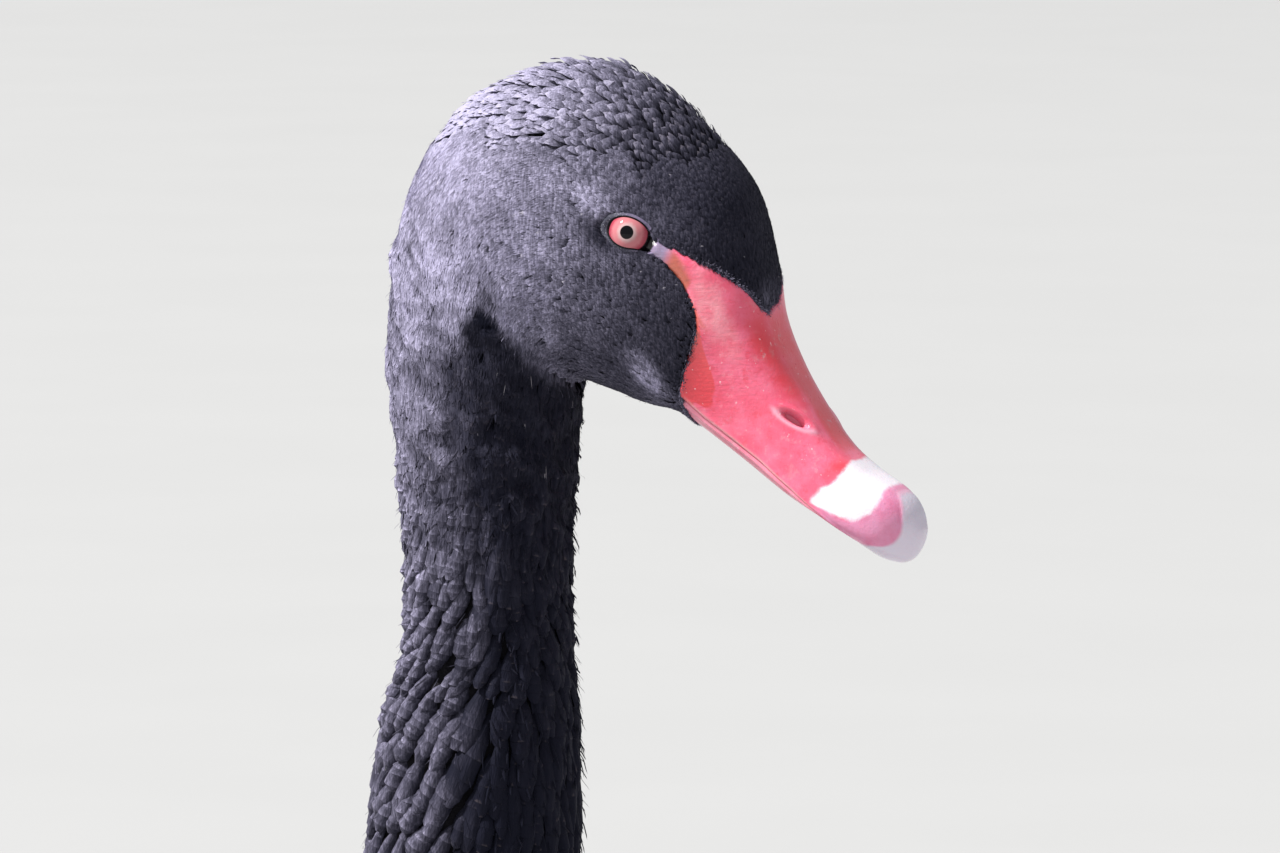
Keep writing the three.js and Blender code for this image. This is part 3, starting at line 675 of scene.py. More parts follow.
def bill_material():
    """Coral pink, with a white band, a pink tip and a pale nail."""
    n = Nodes(
        "bill_horn", Roughness=0.33, Coat_Weight=0.3, Coat_Roughness=0.12, Subsurface_Weight=0.12,
        Subsurface_Radius=(1.0, 0.35, 0.25), Subsurface_Scale=0.0015,
    )
    ragged = n.centred(n.noise(420, 4, 0.6))
    mottle = n.noise(160, 4, 0.6)
    veins = n.noise(95, 4, 0.65, stretch=(1, 1, 2.0))
    pink = n.mix(n.ramp(mottle, 0.35, 0.7), (0.86, 0.105, 0.19), (0.90, 0.17, 0.28))
    patchy = n.noise(330, 5, 0.7)
    pink = n.mix(n.times(n.ramp(patchy, 0.54, 0.70), 0.55), pink, (0.93, 0.29, 0.36))
    pink = n.mix(n.times(n.ramp(patchy, 0.46, 0.32), 0.6), pink, (0.78, 0.06, 0.11))
    deep_at = n.scaled(n.centred(veins), 0.9, n.field("deep"))
    base = n.mix(n.ramp(deep_at, 0.15, 1.0), pink, (0.80, 0.05, 0.075))
    # paler pink where the light field is high: partly the horn's own colour, partly painted sheen
    base = n.mix(n.times(n.field("light"), n.ramp(mottle, 0.2, 0.6)), base, (0.95, 0.34, 0.40))
    low_gape = n.mix(n.field("low_gape"), (0.86, 0.095, 0.11), (0.78, 0.05, 0.075))
    base = n.mix(n.ramp(n.field("gape"), -0.35, 0.25), base, low_gape)
    # the orange patch is brighter there too, with the same painted sheen
    rust = n.mix(n.field("light"), (0.50, 0.125, 0.085), (0.72, 0.10, 0.08))
    base = n.mix(n.field("orange"), base, rust)
    base = n.mix(n.field("lilac"), base, (0.28, 0.215, 0.33))
    scuff = n.times(n.ramp(n.noise(130, 5, 0.7), 0.60, 0.72), n.field("worn"))
    base = n.mix(scuff, base, (0.62, 0.38, 0.40))
    fleck = n.ramp(n.noise(900, 2, 0.5), 0.70, 0.77)
    base = n.mix(n.times(fleck, 0.7), base, (0.92, 0.62, 0.66))
    base = n.mix(n.field("tomium"), base, (0.95, 0.48, 0.50))
    tip_pink = n.mix(n.ramp(mottle, 0.3, 0.7), (0.74, 0.20, 0.36), (0.80, 0.31, 0.50))
    base = n.mix(n.ramp(n.field("tip_zone"), 0.0, 1.0), base, tip_pink)
    band = n.scaled(ragged, 1.9, n.field("band"))
    base = n.mix(n.ramp(band, -0.8, 0.7), base, (0.88, 0.81, 0.87))
    nail = n.scaled(ragged, 0.5, n.field("nail"))
    base = n.mix(n.ramp(nail, -0.7, 0.8), base, (0.74, 0.66, 0.77))
    # the palate's near black is painted shade inside the mouth
    for key, colour in (
        ("nail_rim", (0.72, 0.36, 0.50)), ("hole", (0.80, 0.20, 0.30)), ("rim", (0.86, 0.42, 0.54)),
        ("painted_mouth_shade", (0.02, 0.012, 0.014)),
    ):
        base = n.mix(n.field(key), base, colour)
    base = n.mix(n.ramp(n.field("corner"), 0.42, 0.75), base, (0.006, 0.004, 0.006))
    n.colour(base)
    n.roughness(n.scaled(n.noise(700, 4, 0.6), 0.22, 0.2))
    creases = n.noise(1300, 2, 0.5, stretch=(0.16, 0.5, 1))
    fine = n.scaled(n.noise(3600, 3, 0.6), 0.35, n.noise(1100, 4, 0.65))
    fine = n.scaled(n.times(creases, n.field("creased")), 1.2, fine)
    n.bump(n.scaled(scuff, -0.4, fine), 0.00022, 0.55)
    return n.material


def eye_material():
    n = Nodes("eye", Roughness=0.06, Specular_IOR_Level=0.22)
    ring = n.field("ring")  # millimetres from the eye's axis
    streak = n.scaled(n.centred(n.noise(1300, 3)), 0.8, ring)
    iris = n.mix(n.ramp(streak, 1.8, 3.0), (0.50, 0.34, 0.34), (0.52, 0.175, 0.195))
    iris = n.mix(n.ramp(streak, 3.5, 4.6), iris, (0.38, 0.055, 0.085))
    iris = n.mix(n.ramp(ring, IRIS["pupil"] + 0.12, IRIS["pupil"] - 0.05), iris, (0.002, 0.002, 0.003))
    n.colour(n.mix(n.ramp(ring, IRIS["iris"] - 0.25, IRIS["iris"] + 0.05), iris, (0.006, 0.004, 0.005)))
    n.bump(n.noise(2600, 2), 0.00001, 0.2)
    return n.material


def lid_material():
    n = Nodes("eyelid", Roughness=0.6, Specular_IOR_Level=0.12)
    ring = n.field("ring")  # 0 at the opening, 1 where the feathers begin
    speckle = n.ramp(n.noise(3000, 2, 0.6), 0.60, 0.69)
    skin = n.mix(speckle, (0.060, 0.060, 0.082), (0.42, 0.41, 0.48))
    skin = n.mix(n.field("lilac"), skin, (0.26, 0.21, 0.34))
    n.colour(n.mix(n.ramp(ring, 0.24, 0.14), skin, (0.003, 0.003, 0.004)))
    n.bump(n.noise(2000, 3), 0.0002)
    return n.material


def leg_material():
    n = Nodes("leg_skin", Roughness=0.5)
    cells = n.node("ShaderNodeTexVoronoi", feature="DISTANCE_TO_EDGE", Scale=420.0)
    n.link(n.node("ShaderNodeTexCoord").outputs["Object"], cells.inputs["Vector"])
    scale_edge = n.ramp(cells.outputs["Distance"], 0.0, 0.09)
    tone = n.mix(n.ramp(n.noise(55, 4), 0.35, 0.7), (0.020, 0.019, 0.021), (0.052, 0.048, 0.050))
    n.colour(n.mix(scale_edge, (0.075, 0.068, 0.066), tone))
    n.roughness(n.scaled(n.noise(240, 3), 0.3, 0.38))
    n.bump(n.scaled(scale_edge, 1.0, n.noise(900, 3)), 0.00035, 0.8)
    return n.material


def claw_material():
    n = Nodes("claw", Roughness=0.3)
    n.colour(n.mix(n.ramp(n.noise(500, 4), 0.3, 0.75), (0.012, 0.011, 0.012), (0.05, 0.045, 0.042)))
    n.bump(n.noise(1800, 3, stretch=(0.2, 1, 1)), 0.00012)
    return n.material


def floor_material():
    n = Nodes("floor", Roughness=0.85)
    n.colour(n.mix(n.ramp(n.noise(3, 3), 0.3, 0.7), (0.418, 0.418, 0.413), (0.424, 0.424, 0.419)))
    return n.material


PLUMAGE = plumage_material()
FEATHER_BASE = skin_material()
CONTOUR = vane_material("contour_feather", (0.0082, 0.0084, 0.0145), (0.062, 0.058, 0.078))
WING_VANE = vane_material("wing_feather", (0.009, 0.009, 0.0140), (0.074, 0.067, 0.082))
WHITE_VANE = vane_material("primary_feather", (0.62, 0.60, 0.57), (0.78, 0.77, 0.74))
BILL = bill_material()
EYE_SURFACE = eye_material()
LID = lid_material()
LEG_SKIN = leg_material()
CLAW_HORN = claw_material()


# The skin under the feathers


def skin_grid(stations, angles):
    """The skin: under the coat by its depth, and deeper in front of the feathers' edge."""
    t, a = np.meshgrid(stations, angles, indexing="ij")
    normal = body_frame(t, a)[0]
    bare = step(-0.05, 0.35, bare_edge(a) - t)
    depth = coat_depth(t) * (1 - bare) + 2.6 * bare + eye_socket(t, a) * 4.5
    return body(t, a) + normal * (coat_height(t, a) - depth)[..., None]


def eye_place(station, angle):
    """Where a place lies from the eye, along its long, short and outward way, in millimetres."""
    eye = eye_frame(1)
    offset = body(station, np.abs(angle)) - eye["rim"]
    return offset @ eye["long"], offset @ eye["short"], offset @ eye["out"]


def opening_reach(turn):
    """Distance from the eye's axis to the opening's edge, in each direction from forward to below;
    the front corner is drawn out."""
    ellipse = np.sqrt((np.cos(turn) / OPENING["length"]) ** 2 + (np.sin(turn) / OPENING["height"]) ** 2)
    return 1 / ellipse + OPENING["corner"] * bell(wrapped(turn - OPENING["droop"]), 0, 0.36)


def eye_ring(station, angle):
    """How many times the opening's reach a place is from the eye's axis."""
    x, y, out = eye_place(station, angle)
    far = np.hypot(x, y) / opening_reach(np.arctan2(y, x))
    return np.where(out < -20, NOWHERE, far)


def eye_socket(station, angle):
    near = np.abs(station - EYE["station"]) < 3.5
    return np.where(near, step(2.2, 1.6, eye_ring(station, angle)), 0)


def clear_of_lids(station, angle):
    """Where feathers may grow round the eye: closer above it than behind and below."""
    x, y, _ = eye_place(station, angle)
    down = step(-0.6, 0.6, np.arctan2(y, np.abs(x)))
    return eye_ring(station, angle) > 1.08 + 0.12 * down + 0.14 * step(2.0, 5.0, x)


def make_skin():
    build = Build()
    stations = np.concatenate([np.linspace(6, 26, 200), np.linspace(26.1, LAST, 130)])
    angles = np.linspace(-np.pi, np.pi, 144, endpoint=False)
    t, a = (v.ravel() for v in np.meshgrid(stations, angles, indexing="ij"))
    pale = np.append(paleness(t, a), [0, 0])
    build.add(*tube(placed(skin_grid(stations, angles))), pale=pale)
    for side in SIDES.values():
        build.add(*tube(placed(thigh_grid(side, 3.0))), pale=0.2)
        build.add(*tube(placed(wing_core_grid(side))), pale=0.2)
    skin = build.make("skin", FEATHER_BASE)
    flesh = ["head", "neck_upper", "neck_middle", "neck_lower", "torso", "tail"]
    flesh += [f"{part}_{name}" for part in ("thigh", "wing") for name in SIDES]
    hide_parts(*flesh)
    return skin


# Folded wings


def hull_row(x):
    return between(HULL_ROWS, (WING["first_row"] - x) / WING["row"])


def hull(side, x, angle, lift):
    """A point of the hull of one side, lifted off it; the angle is from the top."""
    row = hull_row(x)
    out = np.stack([np.sin(angle) / row[..., 2], np.cos(angle) / row[..., 1]], -1)
    out = unit(out) * np.asarray(lift)[..., None]
    y = np.maximum(row[..., 2] * np.sin(angle) + out[..., 0], WING["midline"])
    z = row[..., 0] + row[..., 1] * np.cos(angle) + out[..., 1]
    return np.stack([x, side * y, z], -1)


def wing_core_grid(side):
    along = np.linspace(0, 1, 40)[:, None]
    turn = full_turn(48)[None, :]
    x = WING["front_x"] - 6 + (WING["rear_x"] - WING["front_x"] + 20) * along + 0 * turn
    row = hull_row(x)
    upper, lower = np.radians(row[..., 3] + 3), np.radians(row[..., 4] - 3)
    angle = upper + (lower - upper) * (0.5 + 0.5 * np.sin(turn))
    end = np.minimum(np.minimum(along / 0.06, (1 - along) / 0.2), 1)
    rim = np.abs(np.cos(turn)) ** 0.5 * np.sqrt(end)
    lift = np.where(np.cos(turn) > 0, WING["rim"] * (rim - 1) - 3, -WING["rim"] - 3 - WING["depth"] * rim)
    return hull(side, x, angle, lift)


# Thighs, with the rings that the shanks use too


def limb_grid(side, rows, sides, rings, inset=0.0):
    """Rings round a leg, from rows of x, z, half length and half width."""
    row = between(rows, np.linspace(0, len(rows) - 1, rings))[:, None, :]
    turn = full_turn(sides)
    x = row[..., 0] + (row[..., 2] - inset) * np.cos(turn)
    y = LEG["y"] + (row[..., 3] - inset) * np.sin(turn)
    z = np.broadcast_to(row[..., 1], x.shape)
    return np.stack([x, side * y, z], -1)


def thigh_grid(side, inset=0.0):
    x = LEG["hock_x"]
    rows = [
        (x + 44, 236, 66, 34), (x + 38, 204, 62, 33), (x + 28, 172, 50, 28), (x + 12, 144, 30, 19),
        (x + 1, LEG["hock_z"] + 0.3, 13, 10.5),
    ]
    return limb_grid(side, rows, 40, 40, inset)


# Roots of the small feathers


def roots(first, last, pitch_along, pitch_across, rng, scatter=0.22):
    """Places for feathers in staggered rows over the body, from station first to last."""
    stations, angles = [], []
    sample = np.linspace(-np.pi, np.pi, 181)
    station, count = first, 0
    while station < last:
        _, along, around = body_frame(np.full(len(sample), station), sample)
        run, reach = norm(along), norm(around)
        girth = np.append(0, np.cumsum(0.5 * (reach[1:] + reach[:-1]) * np.diff(sample)))
        pitch = np.interp(station, *pitch_across)
        number = max(int(girth[-1] / pitch), 4)
        place = (np.arange(number) + 0.5 * (count % 2) + rng.uniform(-scatter, scatter, number)) / number
        angle = np.interp((place % 1) * girth[-1], girth, sample)
        share = np.interp(angle, sample, run) / run.max()
        keep = rng.random(number) < share * 1.3
        wobble = rng.uniform(-0.16, 0.16, number)
        gap = np.interp(station, *pitch_along) / run.max()
        stations.append((station + wobble * gap)[keep])
        angles.append(angle[keep])
        station += gap
        count += 1
    return np.concatenate(stations), np.concatenate(angles)


def halves(angle):
    """The name of each side, and which of the places lie on it."""
    return [(name, np.sign(angle) == side) for name, side in SIDES.items()]


def varied(rng, table, place, low, high):
    """A table's value at each place, times a chance number from low to high."""
    return np.interp(place, *table) * rng.uniform(low, high, len(place))


class Lay:
    """Lays small forms on the body from their roots: run along the lie, offset to one side, lift."""

    def __init__(self, station, angle, heading):
        self.normal, along, around = body_frame(station, angle)
        first = unit(along)
        second = np.cross(self.normal, first)
        second *= np.sign(np.sum(second * around, -1))[:, None]
        shear = np.sum(around * first, -1)
        girth = np.maximum(np.sum(around * second, -1), 1e-3)
        self.roots = (station, angle, np.cos(heading), np.sin(heading), norm(along), shear, girth)

    def places(self, run, offset):
        shape = (-1,) + (1,) * (run.ndim - 1)
        station, angle, cos, sin, stretch, shear, girth = (v.reshape(shape) for v in self.roots)
        turn = (run * sin + offset * cos) / girth
        go = (run * cos - offset * sin - shear * turn) / stretch
        return station + np.clip(go, -FORM_REACH, FORM_REACH), angle + turn

    def points(self, run, offset, lift):
        station, angle = self.places(run, offset)
        station = np.minimum(station, LAST)
        normal = self.normal.reshape((-1,) + (1,) * (run.ndim - 1) + (3,))
        return body(station, angle) + normal * (lift + coat_height(station, angle))[..., None]


# A lock is a flat three-sided prism that narrows to its tip: how far along it the three rings and
# the tip are, the half widths of the rings, and the side that each point lies on
LOCK_RUN = np.append(np.repeat([0, 0.42, 0.8], 3), 1.0)
LOCK_HALF = np.append(np.repeat([0.55, 1.0, 0.72], 3), 0)
LOCK_SIDE = np.append(np.tile([-1, 0, 1], 3), 0)
LOCK_FACES = (
    np.array([(k + i, k + (i + 1) % 3, k + 3 + (i + 1) % 3, k + 3 + i) for k in (0, 3) for i in range(3)]),
    np.array([(0, 2, 1), (6, 7, 9), (7, 8, 9), (8, 6, 9)]),
)


def locks(lay, length, width, low, high):
    """Points of one thin lock for each root. Low and high are the lifts of its root and its tip."""
    length, width, low, high = (v[:, None] for v in (length, width, low, high))
    crest = 0.4 * width * (LOCK_HALF * (LOCK_SIDE == 0))
    lift = low + (high - low) * LOCK_RUN + crest
    return lay.points(length * LOCK_RUN, 0.5 * width * LOCK_HALF * LOCK_SIDE, lift)


# A scale is a small feather: a thin cushion with a rounded or pointed tip, and a few loose barbs
SCALE_ALONG = {3: np.array([0, 0.5, 0.86, 1.0]), 4: np.array([0, 0.42, 0.76, 0.93, 1.0])}
SCALE_ROUND = {3: np.array([0.5, 0.96, 0.92, 0.5]), 4: np.array([0.5, 0.95, 0.95, 0.72, 0.3])}
SCALE_POINTED = {3: np.array([0.5, 1.0, 0.5, 0.05]), 4: np.array([0.5, 1.0, 0.74, 0.36, 0.04])}


def scale_faces(rows, columns, barbs=0):
    """A grid closed by quads underneath, and a thin three-sided spike for each barb."""
    across = columns + 1
    left = np.arange(rows) * across
    under = np.stack([left, left + across, left + across + columns, left + columns], -1)
    last = rows * across
    ends = [(0, c + 1, c) for c in range(1, columns)]
    ends += [(last, last + c, last + c + 1) for c in range(1, columns)]
    for b in range(last + across, last + across + 4 * barbs, 4):
        ends += [(b, b + 1, b + 3), (b + 1, b + 2, b + 3), (b + 2, b, b + 3), (b, b + 2, b + 1)]
    return np.vstack([grid_quads(rows, columns), under]), np.array(ends)


def scales(lay, length, width, low, high, pointed, steep, camber, rows, columns, barbs, rng):
    """Points of one small feather for each root, how far along it each is, and how far across."""
    count = len(length)
    along = SCALE_ALONG[rows][None, :, None]
    across = np.linspace(-1, 1, columns + 1)[None, None, :]
    blend = pointed[:, None]
    half = SCALE_ROUND[rows][None] * (1 - blend) + SCALE_POINTED[rows][None] * blend
    long, wide = length[:, None, None], width[:, None, None]
    ragged = 1 + 0.05 * rng.normal(0, 1, (count, 1, columns + 1)) * (along > 0.8)
    bend = 0.10 * rng.normal(0, 1, (count, 1, 1)) * wide

    def lifted(where, side):
        rise = high[:, None, None] - (high - low)[:, None, None] * np.clip(1 - where, 0, 1) ** steep
        return rise - camber * wide * side**2

    run = long * along * (1 - 0.13 * across**2) * ragged
    offset = 0.5 * wide * half[:, :, None] * across + bend * along**2
    twist = rng.normal(0, 0.9, (count, 1, 1)) * camber * wide * across * along
    parts = [(run, offset, lifted(along, across) + twist, along + 0 * run, across + 0 * run)]
    if barbs:
        each = (count, barbs, 1)
        at = np.linspace(-0.8, 0.8, barbs)[None, :, None] + rng.uniform(-0.2, 0.2, each)
        foot = 0.55 + rng.uniform(-0.1, 0.15, each)
        end = 1.0 - 0.12 * at**2 + rng.uniform(-0.04, 0.16, each)
        thick = rng.uniform(0.045, 0.075, each) * wide
        where = np.concatenate([foot, foot, foot, end], 2)
        middle = at * 0.5 * wide
        sideways = np.concatenate([middle - thick, middle + thick, middle, at * 0.62 * wide], 2)
        prong = np.array([0.02, 0.02, -0.15, 0.12]) * (1 + rng.normal(0, 0.5, each))
        parts.append((
            long * where, sideways + bend * where**2, lifted(where, at) + prong, where.clip(0, 1),
            at + 0 * where,
        ))
    run, offset, lift, share, side = (
        np.concatenate([v.reshape(count, -1) for v in values], 1) for values in zip(*parts)
    )
    return lay.points(run, offset, lift), share, side


ROPE_TILES = 5
ROPE_COLUMNS = 6


def ropes(lay, length, width, height, low, rng):
    """Points of one rope for each root, how far along its tile each is, and how far across.
    A rope is a row of feathers stuck together, that lie on one another like tiles."""
    tiles, columns = ROPE_TILES, ROPE_COLUMNS
    count = len(length)
    long, wide, high, deep = (v[:, None, None] for v in (length, width, height, low))
    tile = np.repeat(np.arange(tiles), 2)
    end = np.tile([0.0, 1.0], tiles)
    joints = np.cumsum(rng.uniform(0.6, 1.4, (count, tiles)), 1)
    joints = np.concatenate([np.zeros((count, 1)), joints / joints[:, -1:]], 1)
    share = (joints[:, tile + end.astype(int)] + 0.012 * (1 - end) * (tile > 0))[:, :, None]
    end = end[None, :, None]
    side = np.linspace(-1, 1, columns + 1)[None, None, :]
    swell = 0.25 + 0.75 * step(-0.1, 0.5, share)
    blunt = np.sqrt(1 - 0.8 * (np.clip(share - 0.74, 0, 1) / 0.26) ** 2)
    half = 0.5 * wide * swell * blunt * (1 + 0.05 * end)
    dome = (1 - side**2) ** 0.8
    tilt = rng.normal(0, 0.05, (count, len(tile), 1)) * side
    lift = deep * (1 - share) ** 1.6 + high * (swell * blunt * (dome + tilt) + 0.05 * end - 0.72)
    wave = rng.normal(0, 0.14, (count, 1, 1)) * share**2 + rng.normal(0, 0.015, (count, len(tile), 1))
    run = long * (share - 0.02 * end * side**2)
    # a pale tick at a chance place on each tile's end: partly its own pale edge, partly painted highlight
    lit_at = np.repeat(rng.uniform(-0.7, 0.7, (count, tiles)), 2, 1)[:, :, None]
    tip = 0.25 + end * np.where(np.abs(side - lit_at) < 0.24, 0.75, 0.55)
    grid = [
        (v * np.ones((count, 2 * tiles, columns + 1))).reshape(count, -1)
        for v in (run, half * side + wave * wide, lift, tip, side)
    ]
    luck = np.repeat(rng.random((count, tiles)), 2 * (columns + 1), 1)
    return lay.points(*grid[:3]), grid[3], grid[4], luck


def neck_ropes(name, span, pitch, spacing, length, width, height, seed):
    """Ropes of feathers down the neck, in one piece for each side."""
    rng = np.random.default_rng(seed)
    station, angle = roots(*span, pitch, spacing, rng, 0.09)
    rows = 2 * ROPE_TILES
    made = []
    for side_name, pick in halves(angle):
        t, a = station[pick], angle[pick]
        front = step(math.radians(98), math.radians(120), np.abs(a))
        size = varied(rng, length, t, 0.7, 1.35) * (1 + 0.35 * front)
        wide = varied(rng, width, t, 0.75, 1.25) * (1 - 0.10 * front)
        high = varied(rng, height, t, 0.6, 1.4) * (1 - 0.5 * front)
        lay = Lay(t, a, lie(t, a) + rng.normal(0, 0.10, len(t)))
        points, along, across, luck = ropes(lay, size, wide, high, -0.6 * high - 1.2, rng)
        run = size[:, None] * np.linspace(0, 1, rows).repeat(ROPE_COLUMNS + 1)
        # each rope is painted lighter along its middle and darker at its sides: painted shade between the
        # ropes
        tone = paleness(*lay.places(run, 0 * across)) * (1.85 - 1.6 * across**2) * (0.85 + 0.3 * luck)
        made.append(coat_object(
            f"{name}_{side_name}", points, scale_faces(rows - 1, ROPE_COLUMNS), along, across, t, a,
            luck * (0.45 + 0.35 * front[:, None]), tone,
        ))
    return made


PATCH = 0.003  # size of one feather on the unwrapped map
MARGIN = 0.01  # free border of the map


def over_map(values):
    """Values moved and scaled to fill the map from border to border."""
    return MARGIN + (1 - 2 * MARGIN) * (values - values.min()) / max(np.ptp(values), 1e-9)


def bake_map(around, along, across, down):
    """A small patch for each feather at its root's place on the unwrapped skin."""
    return np.stack([over_map(around) + 0.5 * PATCH * across, over_map(along) + PATCH * (down - 0.5)], -1)


def coat_object(name, points, faces, along, across, station, angle, shade, pale, speck=0.0):
    """One piece of coat: its many small forms have the same faces."""
    count, each = points.shape[:2]
    faces = [repeated(f, count, each) for f in faces]
    values = dict(
        tip=along, across=across, shade=shade.reshape(count, -1), pale=pale.reshape(count, -1), speck=speck
    )
    values = {key: np.broadcast_to(value, (count, each)) for key, value in values.items()}
    uv = bake_map(angle[:, None], arc(station)[:, None], values["across"], values["tip"])
    return new_object(name, placed(points), faces, PLUMAGE, values, uv, CRISP)


CROWN = (9.6, 14.8)  # first and last station of the crown, where the feathers are larger
CROWN_REACH = ([9.6, 10.5, 12, 13, 14, 14.8], [25, 52, 64, 56, 38, 10])  # in degrees from the back


def from_crown_edge(station, angle):
    """Degrees from the edge of the crown, above 0 outside it."""
    reach = np.interp(station, *CROWN_REACH)
    return np.degrees(np.abs(angle)) - reach - 11 * rumple(station, angle, 4.5)


def on_crown(station, angle):
    return (station > CROWN[0]) & (station < CROWN[1]) & (from_crown_edge(station, angle) < 0)


def off_crown(station, angle):
    return ~on_crown(station, angle)


def crown_share(station, angle):
    """How near the crown's feathers are to their full size, and how much those round the crown
    stand up like them."""
    outside, inside = from_crown_edge(station, angle), on_crown(station, angle)
    around = step(34, -4, outside) * step(9.6, 10.4, station) * step(15.8, 14.2, station)
    return np.where(inside, step(4, -26, outside), 1), np.where(inside, 0, around)


def small_feathers(name, span, pitch, spacing, length, width, stand, steep, pointed, seed, turn, camber,
                   where=None, rows=3, columns=2, barbs=0, rims=1.0):
    """Short overlapping feathers, in one piece for each side. Pitch is the distance between rows,
    spacing the distance within them, stand the lift of the tips; each follows the station."""
    rng = np.random.default_rng(seed)
    station, angle = roots(*span, pitch, spacing, rng)
    keep = (edge_distance(station, angle) > -0.3) & clear_of_lids(station, angle)
    if where:
        keep &= where(station, angle)
    station, angle = station[keep], angle[keep]
    near_edge = step(4.0, 0.0, edge_distance(station, angle))
    made = []
    for side_name, pick in halves(angle):
        t, a, near = station[pick], angle[pick], near_edge[pick]
        count = len(t)
        heading = lie(t, a) + rng.normal(0, turn, count)
        bold, raised = crown_share(t, a)
        size = varied(rng, length, t, 0.82, 1.18) * (1 - 0.35 * near) * (0.7 + 0.3 * bold + 0.2 * raised)
        wide = varied(rng, width, t, 0.85, 1.15) * (1 - 0.3 * near) * (0.74 + 0.26 * bold + 0.3 * raised)
        high = np.interp(t, *stand) * np.clip(1 + 0.5 * rng.normal(0, 1, count), 0, 3) * bold + 0.26 * raised
        domed = (camber * (0.3 + 0.7 * bold) + 0.02 * raised)[:, None, None]
        low = -coat_depth(t) - 0.3
        sharp = np.clip(np.interp(t, *pointed) + rng.normal(0, 0.25, count), 0, 1)
        lay = Lay(t, a, heading)
        points, along, across = scales(
            lay, size, wide, low, high, sharp, steep, domed, rows, columns, barbs, rng
        )
        speck = (rng.random((count, 1)) < 0.007) * 0.8 * ((along > 0.98) & (np.abs(across) < 0.3))
        pale = paleness(*lay.places(size[:, None] * along, 0.5 * wide[:, None] * across))
        made.append(coat_object(
            f"{name}_{side_name}", points, scale_faces(rows, columns, barbs), along, across, t, a,
            rims * rng.random(count), pale, speck,
        ))
    return made


def lock_pieces(name, station, angle, heading, length, width, low, high, pale, rng, rims=1.0):
    """Fine loose barbs, in one piece for each side."""
    made = []
    for side_name, pick in halves(angle):
        t, a = station[pick], angle[pick]
        points = locks(Lay(t, a, heading[pick]), length[pick], width[pick], np.full(len(t), low), high[pick])
        made.append(coat_object(
            f"{name}_{side_name}", points, LOCK_FACES, LOCK_RUN, LOCK_SIDE, t, a,
            rims * rng.random(len(t)), pale[pick],
        ))
    return made


def make_wisps():
    """Loose barbs that stand off the coat of the head and neck."""
    rng = np.random.default_rng(21)
    at = [8, 14, 30]
    station, angle = roots(8, 30, (at, [2.6, 3.2, 6]), (at, [2.8, 3.4, 6]), rng)
    keep = (edge_distance(station, angle) > 1) & (eye_ring(station, angle) > 1.6)
    keep &= rng.random(len(station)) < 0.7
    station, angle = station[keep], angle[keep]
    count = len(station)
    length = varied(rng, (at, [1.7, 2.6, 5]), station, 0.6, 1.3)
    high = varied(rng, (at, [0.5, 0.8, 1.6]), station, 0.3, 1.5)
    return lock_pieces(
        "wisps", station, angle, lie(station, angle) + rng.normal(0, 0.4, count), length,
        rng.uniform(0.14, 0.3, count), -0.8, high, paleness(station, angle), rng, 0.5,
    )


def make_throat_tips():
    """Tips that stand out down the front of the neck."""
    rng = np.random.default_rng(23)
    station, angle = roots(15.5, 30, ([15, 30], [2.4, 5]), ([15, 30], [2.6, 5]), rng)
    keep = (np.abs(angle) > math.radians(118)) & (rng.random(len(station)) < 0.75)
    station, angle = station[keep], angle[keep]
    count = len(station)
    length = varied(rng, ([15, 30], [2.6, 6]), station, 0.6, 1.4)
    high = varied(rng, ([15, 19, 30], [0.5, 0.9, 1.6]), station, 0.2, 1.3)
    return lock_pieces(
        "throat_tips", station, angle, rng.normal(0, 0.3, count), length, rng.uniform(0.4, 0.9, count),
        -0.8, high, paleness(station, angle), rng, 0.6,
    )


def make_fringe():
    """The soft edge of the feathers against the bill."""
    rng = np.random.default_rng(22)
    angle = np.sort(rng.uniform(-np.pi, np.pi, 5200))
    station = bare_edge(angle) + rng.uniform(-0.02, 0.12, len(angle))
    keep = eye_ring(station, angle) > 1.3
    station, angle = station[keep], angle[keep]
    count = len(station)
    _, along, around = body_frame(station, angle)
    out = np.arctan2(edge_slope(angle, 0.02) * norm(along), norm(around))
    heading = np.pi + out * 0.8 + rng.normal(0, 0.5, count)
    length = rng.uniform(0.5, 1.5, count)
    a = np.degrees(np.abs(angle))
    pale = 0.35 + 0.6 * step(66, 40, a) + 0.5 * step(35, 0, a) + 0.5 * step(95, 130, a)
    return lock_pieces(
        "fringe", station, angle, heading, length, rng.uniform(0.16, 0.34, count), -1.4,
        rng.uniform(-0.1, 0.5, count), pale * rng.uniform(0.2, 1.1, count), rng,
    )


# Vanes: larger feathers as thin closed plates


def plate_faces(rows, columns):
    """Faces of one closed plate: its upper and lower grid and the rim between them."""
    count = (rows + 1) * (columns + 1)
    top = grid_quads(rows, columns)
    bottom = top[:, ::-1] + count
    numbers = np.arange(count).reshape(rows + 1, columns + 1)
    rim = np.concatenate([numbers[:-1, 0], numbers[-1, :-1], numbers[:0:-1, -1], numbers[0, :0:-1]])
    following = np.roll(rim, -1)
    side = np.stack([rim, following, following + count, rim + count], -1)
    return np.vstack([top, bottom, side])


